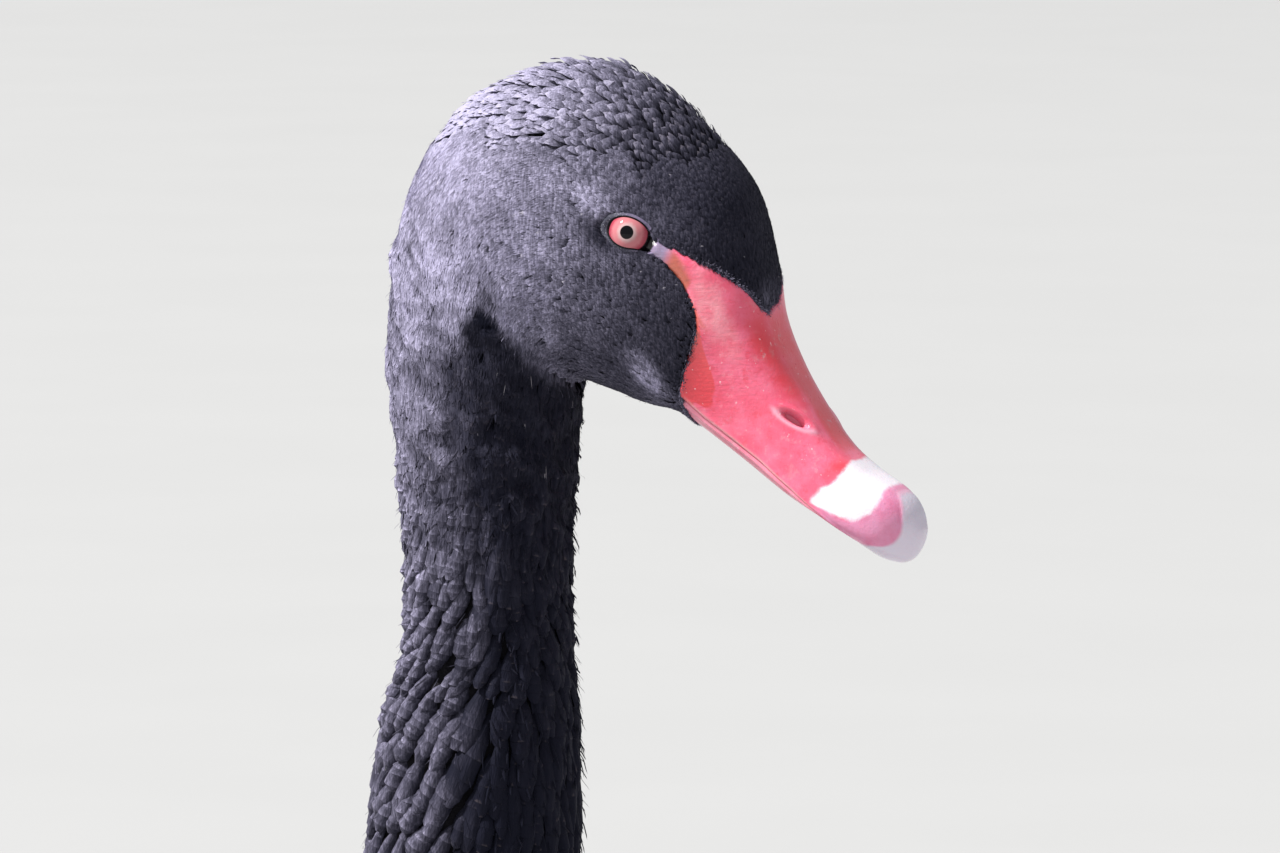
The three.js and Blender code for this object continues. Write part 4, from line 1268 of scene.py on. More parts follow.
def vanes(rng, length, width, rows, columns, rise, sink, camber, fray, tilt=0.0, curl=0.0, ruffle=0.0,
          blunt=0.13, point=0.81, thickness=0.34):
    """Local shape of many feathers: run, offset, lift of the upper and the lower face.

    Length and width are arrays; rise, sink, tilt, curl and ruffle are numbers or arrays."""
    count = len(length)

    def column(value):
        return np.broadcast_to(np.asarray(value, float), (count,))[:, None, None]

    along = np.linspace(0, 1, rows + 1)[None, :, None]
    across = np.linspace(-1, 1, columns + 1)[None, None, :]
    outline = np.sqrt(np.sin(np.pi * (0.1 + point * along)))
    frayed = 1 + fray * rng.normal(0, 1, (count, rows + 1, 1)) * np.abs(across)
    half = 0.5 * column(width) * outline * frayed
    split = 1 + fray * 0.8 * rng.normal(0, 1, (count, 1, columns + 1)) * (along > 0.6)
    run = column(length) * along * (1 - blunt * across**2) * np.where(along > 0.6, split, 1)
    phase = rng.uniform(0, 6.28, (count, 1, 1))
    lift = column(rise) * along**0.85 - column(sink) + column(tilt) * across
    lift = lift - camber * column(width) * across**2 * (0.4 + 0.6 * along)
    free = np.maximum(across, 0) ** 1.6 * along
    lift = lift + column(curl) * free * (1 + 0.45 * np.sin(11 * along + phase))
    lift = lift + column(ruffle) * np.abs(across) ** 1.5 * along * np.sin(17 * along + 2.5 * across + phase)
    body_thick = thickness * (1 - 0.5 * along) * (1 - 0.75 * np.abs(across))
    shaft = 0.5 * (across == 0) * (1 - 0.8 * along)
    shape = np.ones((count, rows + 1, columns + 1))
    return dict(
        run=run * shape, offset=half * across * shape, top=(lift + body_thick + shaft) * shape,
        bottom=(lift - body_thick - 0.08) * shape, along=along * shape, across=across * shape,
        rows=rows, columns=columns,
    )


def vane_object(name, groups, material):
    """One mesh from groups of feathers: their vanes, the function that places them, and for each
    feather its shade and its root's place around and along."""
    points, faces, values, total = [], [], [], 0
    for shape, place, *chosen in groups:
        count = len(shape["run"])
        both = np.concatenate([
            place(shape["run"], shape["offset"], shape[face]).reshape(count, -1, 3)
            for face in ("top", "bottom")
        ], 1)
        each = both.shape[1]
        faces.append(repeated(plate_faces(shape["rows"], shape["columns"]), count, each, total))
        points.append(both.reshape(-1, 3))
        total += count * each
        twice = [np.tile(shape[key].reshape(count, -1), 2).ravel() for key in ("along", "across")]
        values.append(twice + [np.repeat(value, each) for value in chosen])
    tip, across, shade, around, along = (np.concatenate(parts) for parts in zip(*values))
    values = dict(tip=tip, across=across, shade=shade)
    uv = bake_map(around, along, across, tip)
    return new_object(name, placed(np.vstack(points)), [np.vstack(faces)], material, values, uv, CRISP)


def under_wing(station, angle):
    """Whether a place on the trunk is well under a folded wing."""
    x, y, z = np.moveaxis(body(station, angle), -1, 0)
    row = hull_row(np.clip(x, -420, WING["first_row"]))
    turn = np.degrees(np.arctan2(np.abs(y) / row[..., 2], (z - row[..., 0]) / row[..., 1]))
    return (x < 150) & (x > -250) & (turn > row[..., 3] + 10) & (turn < row[..., 4] - 8)


def contour_feathers(name, span, pitch, spacing, length, width, seed, rows):
    """Scale-like feathers of the breast, belly and back, in one piece for each side."""
    rng = np.random.default_rng(seed)
    station, angle = roots(*span, pitch, spacing, rng)
    keep = ~under_wing(station, angle)
    station, angle = station[keep], angle[keep]
    made = []
    for side_name, pick in halves(angle):
        t, a = station[pick], angle[pick]
        count, depth = len(t), coat_depth(t)
        size, wide = varied(rng, length, t, 0.88, 1.12), varied(rng, width, t, 0.9, 1.1)
        lay = Lay(t, a, lie(t, a) + rng.normal(0, 0.09, count))
        shape = vanes(
            rng, size, wide, rows=rows, columns=4, rise=depth + 0.4 + rng.normal(0, 0.4, count),
            sink=depth + 0.6, camber=0.10, blunt=0.16, point=0.84, thickness=0.3, fray=0.06,
        )
        group = (shape, lay.points, rng.random(count), a, arc(t))
        made.append(vane_object(f"{name}_{side_name}", [group], CONTOUR))
    return made


# Rows of feathers on a folded wing: how many, where the first and the last are rooted (x and
# degrees from the top), length, width and how they stand
LONG_QUILL = dict(rows=18, columns=8)
MIDDLE_QUILL = dict(rows=14, columns=8)
WING_ROWS = [
    dict(count=7, x=(168, 160), angle=(60, 104), length=34, width=20, rise=3),
    dict(count=9, x=(156, 148), angle=(55, 110), length=38, width=20, rise=4),
    dict(count=10, x=(140, 134), angle=(48, 114), length=42, width=22, rise=4.5),
    dict(count=10, x=(121, 117), angle=(46, 116), length=48, width=24, rise=5),
    dict(count=10, x=(99, 97), angle=(46, 116), length=62, width=27, rise=6),
    dict(count=11, x=(70, 72), angle=(48, 117), length=72, width=27, rise=6.5),
    dict(count=12, x=(34, 40), angle=(50, 118), length=96, width=27, rise=7),
    dict(count=11, x=(-42, 0), angle=(56, 114), length=136, width=28, rise=7, tilt=1.8, **MIDDLE_QUILL),
    dict(count=6, x=(-138, -112), angle=(74, 99), length=206, width=20, rise=4.0, sink=2.2, tilt=1.2,
         white=True, rows=18, columns=6),
    dict(count=5, x=(150, 118), angle=(50, 34), length=60, width=34, rise=7),
    dict(count=6, x=(118, 62), angle=(42, 26), length=84, width=38, rise=9, curl=1.5),
    dict(count=6, x=(84, 20), angle=(36, 20), length=104, width=42, rise=10, curl=2, ruffle=0.8),
    dict(count=6, x=(36, -36), angle=(38, 20), length=122, width=44, rise=11, curl=3, ruffle=1.2,
         **MIDDLE_QUILL),
    dict(count=6, x=(-30, -84), angle=(21, 50), length=142, width=42, rise=12, tilt=2.4, curl=7, ruffle=2.2,
         **LONG_QUILL),
    dict(count=6, x=(-92, -130), angle=(20, 55), length=146, width=40, rise=12, tilt=2.6, curl=8, ruffle=2.6,
         **LONG_QUILL),
    dict(count=5, x=(-160, -180), angle=(20, 58), length=138, width=38, rise=10.5, tilt=2.6, curl=8.5,
         ruffle=2.4, **LONG_QUILL),
]


def wing_group(side, row, rng):
    count = row["count"]
    share = np.linspace(0, 1, count)

    def along_row(ends, scatter):
        return ends[0] + (ends[1] - ends[0]) * share + rng.uniform(-scatter, scatter, count)

    x = along_row(row["x"], 3.5)
    angle = np.radians(along_row(row["angle"], 1))
    drift = rng.uniform(-0.05, 0.05, count)
    length = row["length"] * rng.uniform(0.93, 1.07, count)
    width = row["width"] * rng.uniform(0.93, 1.07, count)
    shape = vanes(
        rng, length, width, rows=row.get("rows", 9), columns=row.get("columns", 6), rise=row["rise"],
        sink=row.get("sink", 2.6) + 1.2 * share * row.get("white", False), tilt=row.get("tilt", 1.0),
        curl=row.get("curl", 0.4), ruffle=row.get("ruffle", 0.25), camber=0.07, thickness=0.38, fray=0.035,
    )

    def place(run, offset, lift):
        px = x[:, None, None] - run * np.cos(drift)[:, None, None]
        row_here = hull_row(px)
        girth = (row_here[..., 1] + row_here[..., 2]) / 2
        turn = angle[:, None, None] + (run * np.sin(drift)[:, None, None] + offset) / girth
        return hull(side, px, turn, lift)

    return shape, place, rng.random(count), angle, x


def make_wing(name, side):
    rng = np.random.default_rng(40 + side)
    groups = [(row.get("white", False), wing_group(side, row, rng)) for row in WING_ROWS]
    dark, white = ([group for is_white, group in groups if is_white == wanted] for wanted in (False, True))
    return (
        vane_object(f"wing_feathers_{name}", dark, WING_VANE),
        vane_object(f"primaries_{name}", white, WHITE_VANE),
    )


# Tail


TAIL_ROWS = [
    dict(count=20, spread=1.0, start=44, length=102, width=24, height=2, rise=0),
    dict(count=11, spread=1.08, start=36, length=70, width=24, height=8, rise=2),
    dict(count=9, spread=1.0, start=20, length=62, width=24, height=12, rise=3),
    dict(count=11, spread=1.0, start=36, length=80, width=24, height=-8, rise=-2),
    dict(count=9, spread=0.9, start=18, length=66, width=24, height=-14, rise=-3),
]


def make_tail():
    rng = np.random.default_rng(71)
    groups = []
    for row in TAIL_ROWS:
        count = row["count"]
        out = np.linspace(-1, 1, count)
        direction = TAIL["spread"] * row["spread"] * out
        stack = row["height"] - 7.4 * np.abs(out)
        length = row["length"] * (1 - 0.06 * out**2) * rng.uniform(0.97, 1.03, count)
        shape = vanes(
            rng, length, row["width"] * rng.uniform(0.95, 1.05, count), rows=12, columns=6, rise=row["rise"],
            sink=0, tilt=-np.sign(out) * 0.8, camber=0.04, thickness=0.4, fray=0.035, ruffle=0.4,
        )

        def place(run, offset, lift, direction=direction, stack=stack, start=row["start"]):
            way = direction[:, None, None]
            reach = start + run
            x = TAIL["fan_x"] - reach * np.cos(way) - offset * np.sin(way)
            y = reach * np.sin(way) - offset * np.cos(way)
            drop = np.maximum(TAIL["cut_x"] + 20 - x, 0) * math.sin(TAIL["droop"]) - 2.4
            z = TAIL["z"] - drop - TAIL["roof"] * np.abs(y) + stack[:, None, None] + lift
            return np.stack([x, y, z], -1)

        groups.append((shape, place, rng.random(count), direction, np.full(count, float(row["height"]))))
    return vane_object("tail_feathers", groups, WING_VANE)


# Thigh feathers


def make_thigh(name, side):
    rng = np.random.default_rng(90 + side)
    grid = thigh_grid(1)
    rings, around = grid.shape[:2]
    last = rings - 1.001  # just above the lowest ring
    where_row, where_turn = [], []
    for number, row in enumerate(np.linspace(3, rings - 3.5, 19)):
        count = int(np.interp(row, [0, rings], [34, 16]))
        even = (np.arange(count) + 0.5 * (number % 2)) / count * around
        where_turn.append(even + rng.uniform(-0.3, 0.3, count))
        where_row.append(row + rng.uniform(-0.5, 0.5, count))
    row, turn = np.concatenate(where_row), np.concatenate(where_turn)

    def surface(place, way):
        return on_grid(grid, np.clip(place, 0, last), way)

    down = surface(row + 0.5, turn) - surface(row - 0.5, turn)
    over = surface(row, turn + 0.5) - surface(row, turn - 0.5)
    normal = unit(np.cross(down, over))
    inward = normal[:, 1] * (surface(row, turn)[:, 1] - LEG["y"]) < 0
    normal = np.where(inward[:, None], -normal, normal)
    stretch, girth = norm(down)[:, None, None], norm(over)[:, None, None]
    size = varied(rng, ([0, rings], [24, 12]), row, 0.85, 1.15)
    wide = varied(rng, ([0, rings], [14, 7]), row, 0.9, 1.1)
    shape = vanes(
        rng, size, wide, rows=4, columns=4, rise=4.2, sink=4, camber=0.1, blunt=0.16, point=0.84, fray=0.08
    )

    def place(run, offset, lift):
        r = row[:, None, None] + run / stretch
        w = turn[:, None, None] + offset / girth
        p = surface(r, w) + normal[:, None, None, :] * lift[..., None]
        p[..., 2] -= np.maximum(r - last, 0) * stretch * 0.9
        return p * np.array([1, side, 1])

    return vane_object(f"thigh_feathers_{name}", [(shape, place, rng.random(len(row)), turn, row)], CONTOUR)


# Bill


def mouth_angle(station):
    """Angle of the mouth's line from the culmen, and right round at the tip and behind the gape."""
    return np.radians(np.interp(
        station, [-1, 1.3, 1.9, 2.6, 3.3, 4.0, 4.7, 5.4, 6.1, 7.0, 7.5, 7.9],
        [180, 180, 154, 131, 115, 105, 103, 107, 111.5, 112, 108, 180],
    ))


# Edges of the markings as stations, each 15 degrees from the culmen to the underside
BAND_REAR = [3.40, 3.42, 3.38, 3.30, 3.30, 3.36, 3.5, 3.5, 3.5, 3.5, 3.5, 3.5, 3.5]
BAND_FRONT = [2.2, 2.22, 2.18, 2.1, 2.06, 2.06, 2.28, 2.9, 3.3, 3.5, 3.5, 3.5, 3.5]
NAIL_EDGE = [1.9, 1.82, 1.45, 1.14, 0.89, 0.74, 0.76, 1.04, 1.48, 1.75, 1.95, 2.1, 2.2]
GAPE_FRONT = (
    [76, 78, 81.5, 84.5, 87, 89, 92, 96, 100, 104],
    [8.2, 7.94, 7.68, 7.22, 6.80, 6.50, 6.24, 6.22, 6.30, 6.6],
)
BAND_LOW = ([2.06, 2.32, 2.86, 3.34], [88, 91.5, 95.5, 101.5])  # lower end of the band, in degrees
# Deeper red: station, degrees from the culmen, half length, half width and strength
DEEP_SPOTS = [(6.7, 30, 0.9, 26, 0.9), (5.4, 22, 0.8, 26, 0.6), (3.5, 45, 0.4, 40, 0.7)]
STATION_LENGTH = 9.5  # of one station of the bill, in millimetres


def bill_fields(t, angle):
    """Markings of the bill, worked out from the station and the angle from the culmen."""
    a = np.degrees(np.abs(angle))

    def edge(rows):
        return between(np.array(rows)[:, None], a / 15)[..., 0]

    low = (np.interp(t, *BAND_LOW) - a) * 0.21
    band = np.minimum(np.minimum(edge(BAND_REAR) - t, t - edge(BAND_FRONT)) * STATION_LENGTH, low)
    nail = (edge(NAIL_EDGE) - t) * 7.0
    to_edge = -edge_distance(t, angle)
    orange = step(8.66, 8.74, t) * step(9.6, 9.2, t) * step(67.5, 70.0, a - 3.0 * (9.1 - t))
    deep = sum(
        strength * np.exp(-(((t - station) / long) ** 2) - ((a - middle) / wide) ** 2)
        for station, middle, long, wide, strength in DEEP_SPOTS
    )
    x, y, _ = eye_place(t, angle)
    return dict(
        band=band, nail=nail,
        tip_zone=np.maximum(step(2.9, 2.3, t), step(92, 100, a) * step(3.6, 3.0, t)),
        gape=np.minimum(t - np.interp(a, *GAPE_FRONT), (a - 75) / 12) * 5,
        orange=np.maximum(orange, 0.8 * bell(to_edge, 0.2, 0.45) * step(7.6, 8.0, t) * step(70, 73, a)),
        lilac=step(9.24, 9.5, t),
        deep=np.maximum(deep, 0.85 * step(24, 6, a) * step(3.4, 4.0, t) * step(8.0, 6.6, t)),
        worn=np.maximum.reduce([
            blob(t, a, 7.44, 53, 0.4, 9), blob(t, a, 6.46, 40, 0.4, 9), step(30, 0, a), 0.25 + 0 * t,
        ]),
        # paler pink towards the base: partly the horn's own colour, partly painted sheen on the wrinkled horn
        light=np.maximum(blob(t, a, 8.1, 67, 0.95, 15), 0.7 * blob(t, a, 7.3, 66, 0.9, 16)),
        low_gape=step(82, 92, a),
        creased=step(5.2, 6.4, t) * step(35, 62, a),
        corner=step(8.2, 6.2, np.hypot(x, y)) * step(8.6, 9.0, t),
        nail_rim=0.8 * step(55, 30, a) * bell(nail, 0.2, 0.9),
    )


def nostril_place(points, side):
    """Share of the way from the nostril's middle to its edge, and the way up from its long axis."""
    station, angle = np.array(NOSTRIL["station"]), np.array(side * NOSTRIL["angle"])
    out = body_frame(station, angle, 0.01)[0]
    long = lengthwise(NOSTRIL["tilt"], out)
    short = np.cross(out, long) * side
    offset = points - body(station, angle)
    x, y = offset @ long / NOSTRIL["length"], offset @ short / NOSTRIL["width"]
    near = np.abs(offset @ out) < 7
    return np.where(near, np.hypot(x, y), NOWHERE), np.where(near, -y, 0)


TIP_CAP = math.radians(42)  # slope of the bill's surface where its round end begins


def make_upper_bill():
    sides = 170
    stations = np.concatenate([np.linspace(0.22, 8, 225), np.linspace(8.05, 9.95, 44)])
    t = np.repeat(stations[:, None], sides, 1)
    limit = mouth_angle(stations)[:, None]
    angle = np.linspace(-1, 1, sides)[None, :] * limit
    surface = body(t, angle)
    fields = bill_fields(t, angle)
    lift = -2.2 * step(-0.1, 0.9, edge_distance(t, angle))
    hole, rim = np.zeros_like(t), np.zeros_like(t)
    for side in SIDES.values():
        r, up = nostril_place(surface, side)
        lift -= NOSTRIL["depth"] * step(1.02, 0.55, r)
        lift += 0.38 * bell(r, 1.35, 0.38) * (0.6 + 0.4 * np.tanh(up))
        hole = np.maximum(hole, step(1.0, 0.8, r))
        rim = np.maximum(rim, bell(r, 1.35, 0.30) * step(0.5, -0.5, up) * 0.9)
    lift += 0.16 * step(-0.8, 0.8, fields["nail"]) - 0.8 * fields["corner"]
    edge = (limit - np.abs(angle)) * 12
    lift += 0.25 * bell(edge, 0.9, 0.7) * step(7.9, 7.0, t) * step(1.6, 2.8, t)
    outer = surface + body_frame(t, angle)[0] * lift[..., None]
    palate = np.arange(1, 25) / 25
    roof = 0.35 * (1 - (2 * palate - 1) ** 2)
    palate, roof = palate[None, :, None], roof[None, :, None]
    chord = outer[:, -1:] * (1 - palate) + outer[:, :1] * palate
    grid = np.concatenate([outer, chord * (1 - roof) + core(stations)[:, None] * roof], 1)
    centre = grid[0].mean(0)
    radius = norm(grid[0] - centre).mean()
    forward = unit(np.array([0.62, 0, -0.78]))
    tip_rings = []
    for turn in np.linspace(TIP_CAP, math.radians(86), 9)[:0:-1]:
        inward = math.cos(turn) / math.cos(TIP_CAP)
        ahead = (math.sin(turn) - math.sin(TIP_CAP)) / math.cos(TIP_CAP)
        tip_rings.append(centre + (grid[0] - centre) * inward + forward * radius * ahead)
    pad = len(tip_rings)

    def fill(values, under=0.0):
        """Values of the outside, with one value for the palate and the front row's for the tip."""
        whole = np.concatenate([values, np.full((len(stations), palate.size), under)], 1)
        whole = np.concatenate([np.repeat(whole[:1], pad, 0), whole])
        return np.append(whole.ravel(), [whole[0].mean(), whole[-1].mean()])

    tomium = 0.8 * bell(edge, 0.3, 0.55) * step(7.2, 6.4, t) * step(1.6, 2.8, t)
    fields.update(hole=hole, rim=rim, tomium=tomium)
    fields = {key: fill(values) for key, values in fields.items()}
    # the palate is painted near black: painted shade inside the mouth
    fields["painted_mouth_shade"] = fill(0 * t, 0.6)
    points, faces = tube(placed(np.concatenate([np.stack(tip_rings), grid])))
    upper = new_object("bill_upper_horn", points, faces, BILL, fields)
    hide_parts("bill_upper")
    return upper


def make_lower_bill():
    stations = np.linspace(1.75, 7.5, 140)
    t = stations[:, None]
    limit = mouth_angle(np.minimum(stations, 7.4))[:, None] + 0.04
    around = np.linspace(0, 1, 80)[None, :]
    angle = limit + (2 * np.pi - 2 * limit) * around
    t = np.broadcast_to(t, angle.shape)
    tuck = MANDIBLE_INSET + 1.5 * step(2.4, 1.75, t) + 2.2 * step(6.7, 7.4, t)
    ridge = bell(np.minimum(around, 1 - around), 0.05, 0.03) * 0.35
    normal = body_frame(t, angle)[0]
    outer = body(t, angle) - normal * tuck[..., None] + normal * ridge[..., None]
    share = np.linspace(0, 1, 22)[None, 1:-1, None]
    chord = outer[:, -1:] * (1 - share) + outer[:, :1] * share
    grid = np.concatenate([outer, chord + (core(stations)[:, None] - chord) * 0.1], 1)
    count = grid.shape[1]
    zero = np.zeros(len(stations) * count + 2)
    ends = np.interp(stations, [1.7, 2.6, 3.4], [1, 0.8, 0])
    plain = (
        "orange", "lilac", "hole", "rim", "painted_mouth_shade", "deep", "tomium", "low_gape", "creased", "nail_rim",
        "corner",
    )
    values = {key: zero for key in plain}
    values.update({key: zero - NOWHERE for key in ("band", "nail", "gape")})
    values.update(tip_zone=np.maximum(np.append(np.repeat(ends, count), [1, 0]), 0.35))
    # the lower bill is paler pink all over, partly its own colour and partly painted sheen along its edge
    values.update(worn=zero + 0.6, light=zero + 0.7)
    points, faces = tube(placed(grid))
    lower = new_object("bill_lower_horn", points, faces, BILL, values)
    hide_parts("bill_lower")
    return lower


# Eyes


def make_eye(name, side):
    """The ball, with its surface a little flatter under the lids and rounder over the pupil."""
    eye = eye_frame(side)
    polar = np.linspace(0.004, np.pi - 0.004, 72)[:, None]
    turn = full_turn(96)[None, :]
    radius = EYE["radius"] - 0.05 + 0.25 * bell(polar, 0, 0.55)
    away, ahead = radius * np.sin(polar) + 0 * turn, radius * np.cos(polar) + 0 * turn
    grid = eye["centre"] + (
        (away * np.cos(turn))[..., None] * eye["long"] + (away * np.sin(turn))[..., None] * eye["short"]
        + ahead[..., None] * eye["out"]
    )
    ring = np.append(np.where(polar < np.pi / 2, away, NOWHERE).ravel(), [0, NOWHERE])
    points, faces = tube(placed(grid))
    made = new_object(f"eyeball_{name}", points, faces, EYE_SURFACE, dict(ring=ring))
    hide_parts(f"eye_{name}")
    return made


# Section through the lids, as a closed line: times the opening's reach from the eye's axis, share
# of the way from the ball's surface to the cheek's, and lift
LID_PROFILE = [
    (0.86, 0, -0.9), (0.95, 0, -0.3), (0.99, 0, 0.05), (1.03, 0.1, 0.28), (1.08, 0.3, 0.40),
    (1.14, 0.55, 0.36), (1.20, 0.8, 0.18), (1.28, 1, -0.10), (1.48, 1, -0.8), (2.05, 1, -1.6),
    (2.05, 1, -2.9), (1.3, 0.7, -2.4), (0.9, 0.1, -2.2),
]


def make_lids(name, side):
    """Both lids as one ring: a dark rim on the ball, then bare skin that runs under the feathers."""
    eye = eye_frame(side)
    turn = full_turn(160)
    ahead = wrapped(side * turn)
    reach = opening_reach(ahead)
    ball_radius = EYE["radius"] - 0.05
    system = np.stack(body_frame(np.array(EYE["station"]), np.array(side * EYE["angle"]))[1:], -1)
    rings, share = [], []
    for out, blend, lift in LID_PROFILE:
        x, y = reach * np.cos(turn) * out, reach * np.sin(turn) * out
        plane = np.outer(x, eye["long"]) + np.outer(y, eye["short"])
        move = np.linalg.lstsq(system, plane.T, rcond=None)[0]
        cheek = body(EYE["station"] + move[0], side * EYE["angle"] + move[1])
        far = np.hypot(x, y)
        away = np.minimum(far, ball_radius)
        height = np.sqrt(EYE["radius"] ** 2 - away**2)
        ball = eye["centre"] + plane * (away / np.maximum(far, 1e-6))[:, None] + np.outer(height, eye["out"])
        overhang = 0.4 * bell(ahead, -1.4, 0.9) * (1 - abs(out - 1.12) / 0.2) * (0.92 < out < 1.32)
        rings.append(ball * (1 - blend) + cheek * blend + np.outer(lift + overhang, eye["out"]))
        share.append(np.full(len(turn), (out - 0.95) / 0.75))
    count, rows = len(turn), len(rings)
    r, c = np.meshgrid(np.arange(rows), np.arange(count), indexing="ij")
    here, below = r * count, (r + 1) % rows * count
    following = (c + 1) % count
    quads = np.stack([here + c, here + following, below + following, below + c], -1).reshape(-1, 4)
    lilac = np.maximum(bell(ahead, 0, 0.8), 0.6 * bell(ahead, -1.2, 0.8))
    values = dict(ring=np.concatenate(share), lilac=np.tile(lilac, rows))
    return new_object(f"eyelids_{name}", placed(np.stack(rings)), [quads], LID, values)


# Legs

# The shank: share of the way from hock to ankle, half length and half width
SHANK_ROWS = [
    (-0.08, 8.5, 7), (0.0, 9.5, 8), (0.12, 11, 8.5), (0.28, 8, 6), (0.6, 7, 5), (0.88, 7.6, 6), (1, 8.6, 7.2),
]


def shank_grid(side):
    run, drop = LEG["ankle_x"] - LEG["hock_x"], LEG["hock_z"] - LEG["ankle_z"] + 8
    rows = [(LEG["hock_x"] + run * d, LEG["hock_z"] - drop * d, *half) for d, *half in SHANK_ROWS]
    grid = limb_grid(side, rows, 48, 140)
    ring = np.arange(grid.shape[0])[:, None]
    front = np.clip(np.cos(full_turn(grid.shape[1]))[None, :], 0, 1) ** 0.7
    scute = np.abs(np.sin(ring / grid.shape[0] * math.pi * 17)) ** 0.5
    grid[..., 0] += 0.5 * front * (scute - 0.5)
    return grid


def toe_grid(length, knuckles):
    along = np.linspace(0, 1, 70)[:, None]
    turn = full_turn(28)[None, :]
    knuckle = 1 + 0.13 * np.cos(along * knuckles * 2 * math.pi)
    size = (TOE["height"] + (TOE["tip"] - TOE["height"]) * along) * knuckle
    size = size * np.sqrt(np.clip(1 - ((along - 0.97) / 0.03).clip(0, 1) ** 2 * 0.75, 0.1, 1))
    scute = np.abs(np.sin(along * length / 3.1 * math.pi)) ** 0.5
    top = np.clip(np.cos(turn), 0, 1) ** 1.2
    lump = 0.3 * top * (scute - 0.4)
    x = along * length * np.ones_like(turn)
    y = 0.5 * size * np.sin(turn)
    z = np.maximum(0.42 * size + 0.5 * size * np.cos(turn) + lump, 0.12 + 0.25 * (1 - np.abs(np.sin(turn))))
    return np.stack([x, y, z], -1)


def claw_grid(length):
    along = np.linspace(0, 1, 30)[:, None]
    turn = full_turn(20)[None, :]
    size = CLAW["radius"] * (1 - 0.9 * along**1.3)
    height = 2.6 + 1.4 * np.sin(np.pi * along) - 1.9 * along
    x = (length - 3) + (CLAW["length"] + 3) * along * np.ones_like(turn)
    y = size * np.sin(turn) * 0.85
    z = np.maximum(height + size * np.cos(turn), 0.15)
    return np.stack([x, y, z], -1)


def web_grid(near_length, near_angle, far_length, far_angle):
    """The web between two toes: a thin wavy plate with a hollowed free edge."""
    along = np.linspace(0.02, 1, 60)[:, None]
    across = np.linspace(0, 1, 36)[None, :]
    sag = 1 - 0.15 * 4 * across * (1 - across) * along**2
    reach = ((near_length - 4) * (1 - across) + (far_length - 4) * across) * along * sag
    angle = near_angle + (far_angle - near_angle) * across
    fold = np.sin(across * 22) * 0.28 * along + np.sin(along * 26 + across * 3) * 0.12
    side = np.abs(2 * across - 1)
    top = 1.75 + 0.7 * side**4 + fold * (1 - side**6)
    flat = [reach * np.cos(angle), reach * np.sin(angle)]
    return np.stack([*flat, top], -1), np.stack([*flat, np.full_like(top, 0.25)], -1)


def turned(points, angle):
    cos, sin = math.cos(angle), math.sin(angle)
    x, y = points[..., 0], points[..., 1]
    return np.stack([x * cos - y * sin, x * sin + y * cos, points[..., 2]], -1)


def make_leg(name, side):
    skin, claws = Build(), Build()
    spread = TOE["spread"]
    toes = [(TOE["inner"], 3, -spread), (TOE["middle"], 4, 0.0), (TOE["outer"], 4, spread)]

    def foot_place(points):
        points = turned(points, -LEG["turn_in"])
        return placed(points * [1, side, 1] + [LEG["ankle_x"], side * LEG["y"], 0])

    def add_toe(length, knuckles, angle, start):
        skin.add(*tube(foot_place(turned(toe_grid(length, knuckles), angle) + [start, 0, 0])))
        claws.add(*tube(foot_place(turned(claw_grid(length), angle) + [start, 0, 0])))

    for toe in toes:
        add_toe(*toe, 0)
    for first, second in zip(toes, toes[1:]):
        upper, lower = web_grid(first[0], first[2], second[0], second[2])
        points = np.concatenate([foot_place(upper).reshape(-1, 3), foot_place(lower).reshape(-1, 3)])
        skin.add(points, [plate_faces(upper.shape[0] - 1, upper.shape[1] - 1)])
    add_toe(TOE["hind"], 1, np.pi + math.radians(14), -4)
    along, turn = np.linspace(-0.2, 0.97, 30)[:, None], full_turn(40)[None, :]
    ankle = np.stack([
        -along * 3 + (8.6 + 2 * along) * np.cos(turn), (7.2 + 2.4 * along) * np.sin(turn),
        LEG["ankle_z"] * (1 - along) + 0 * turn,
    ], -1)
    skin.add(*tube(foot_place(ankle)))
    skin.add(*tube(placed(shank_grid(side))))
    leg = skin.make(f"leg_{name}_skin", LEG_SKIN)
    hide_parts(f"shank_{name}", f"foot_{name}")
    return leg, claws.make(f"claws_{name}", CLAW_HORN)


# Everything in its place

plumage, quill, horn, eyes, legs = [make_skin()], [], [], [], []
plumage += small_feathers(
    "face", span=(6.4, 12.0), pitch=([7, 9, 12], [0.9, 1.1, 1.4]), spacing=([7, 9, 12], [0.85, 1.0, 1.3]),
    length=([7, 9, 12], [2.8, 3.4, 4.2]), width=([7, 9, 12], [1.2, 1.4, 1.85]),
    stand=([7, 10, 12], [0.02, 0.05, 0.06]), steep=5.5, pointed=([7, 12], [0.0, 0.15]), seed=1, turn=0.08,
    camber=0.02, where=off_crown, barbs=2, rims=0.5,
)
plumage += small_feathers(
    "crown", span=CROWN, pitch=([9.6, 12, 13, 14.8], [1.9, 2.5, 2.3, 2.0]),
    spacing=([9.6, 12, 13, 14.8], [1.8, 2.4, 2.2, 2.0]), length=([9.6, 12, 14.8], [4.6, 7.4, 6.4]),
    width=([9.6, 12, 13, 14.8], [2.3, 3.2, 2.8, 2.5]),
    stand=([9.6, 11, 12.2, 13, 14.8], [0.3, 0.95, 0.95, 0.42, 0.2]), steep=1.7,
    pointed=([9.6, 13, 14.8], [0.1, 0.15, 0.3]), seed=8, turn=0.08, camber=0.05, where=on_crown, rows=4,
    columns=4,
)
plumage += small_feathers(
    "temple", span=(11.9, 16.8), pitch=([12, 14, 17], [1.4, 1.45, 1.7]),
    spacing=([12, 14, 17], [1.4, 1.45, 1.7]), length=([12, 14, 17], [4.4, 4.6, 5.4]),
    width=([12, 14, 17], [2.0, 2.0, 2.4]), stand=([12, 17], [0.05, 0.05]), steep=5.5,
    pointed=([12, 17], [0.35, 0.35]), seed=2, turn=0.12, camber=0.015, where=off_crown, barbs=4, rims=0.35,
)
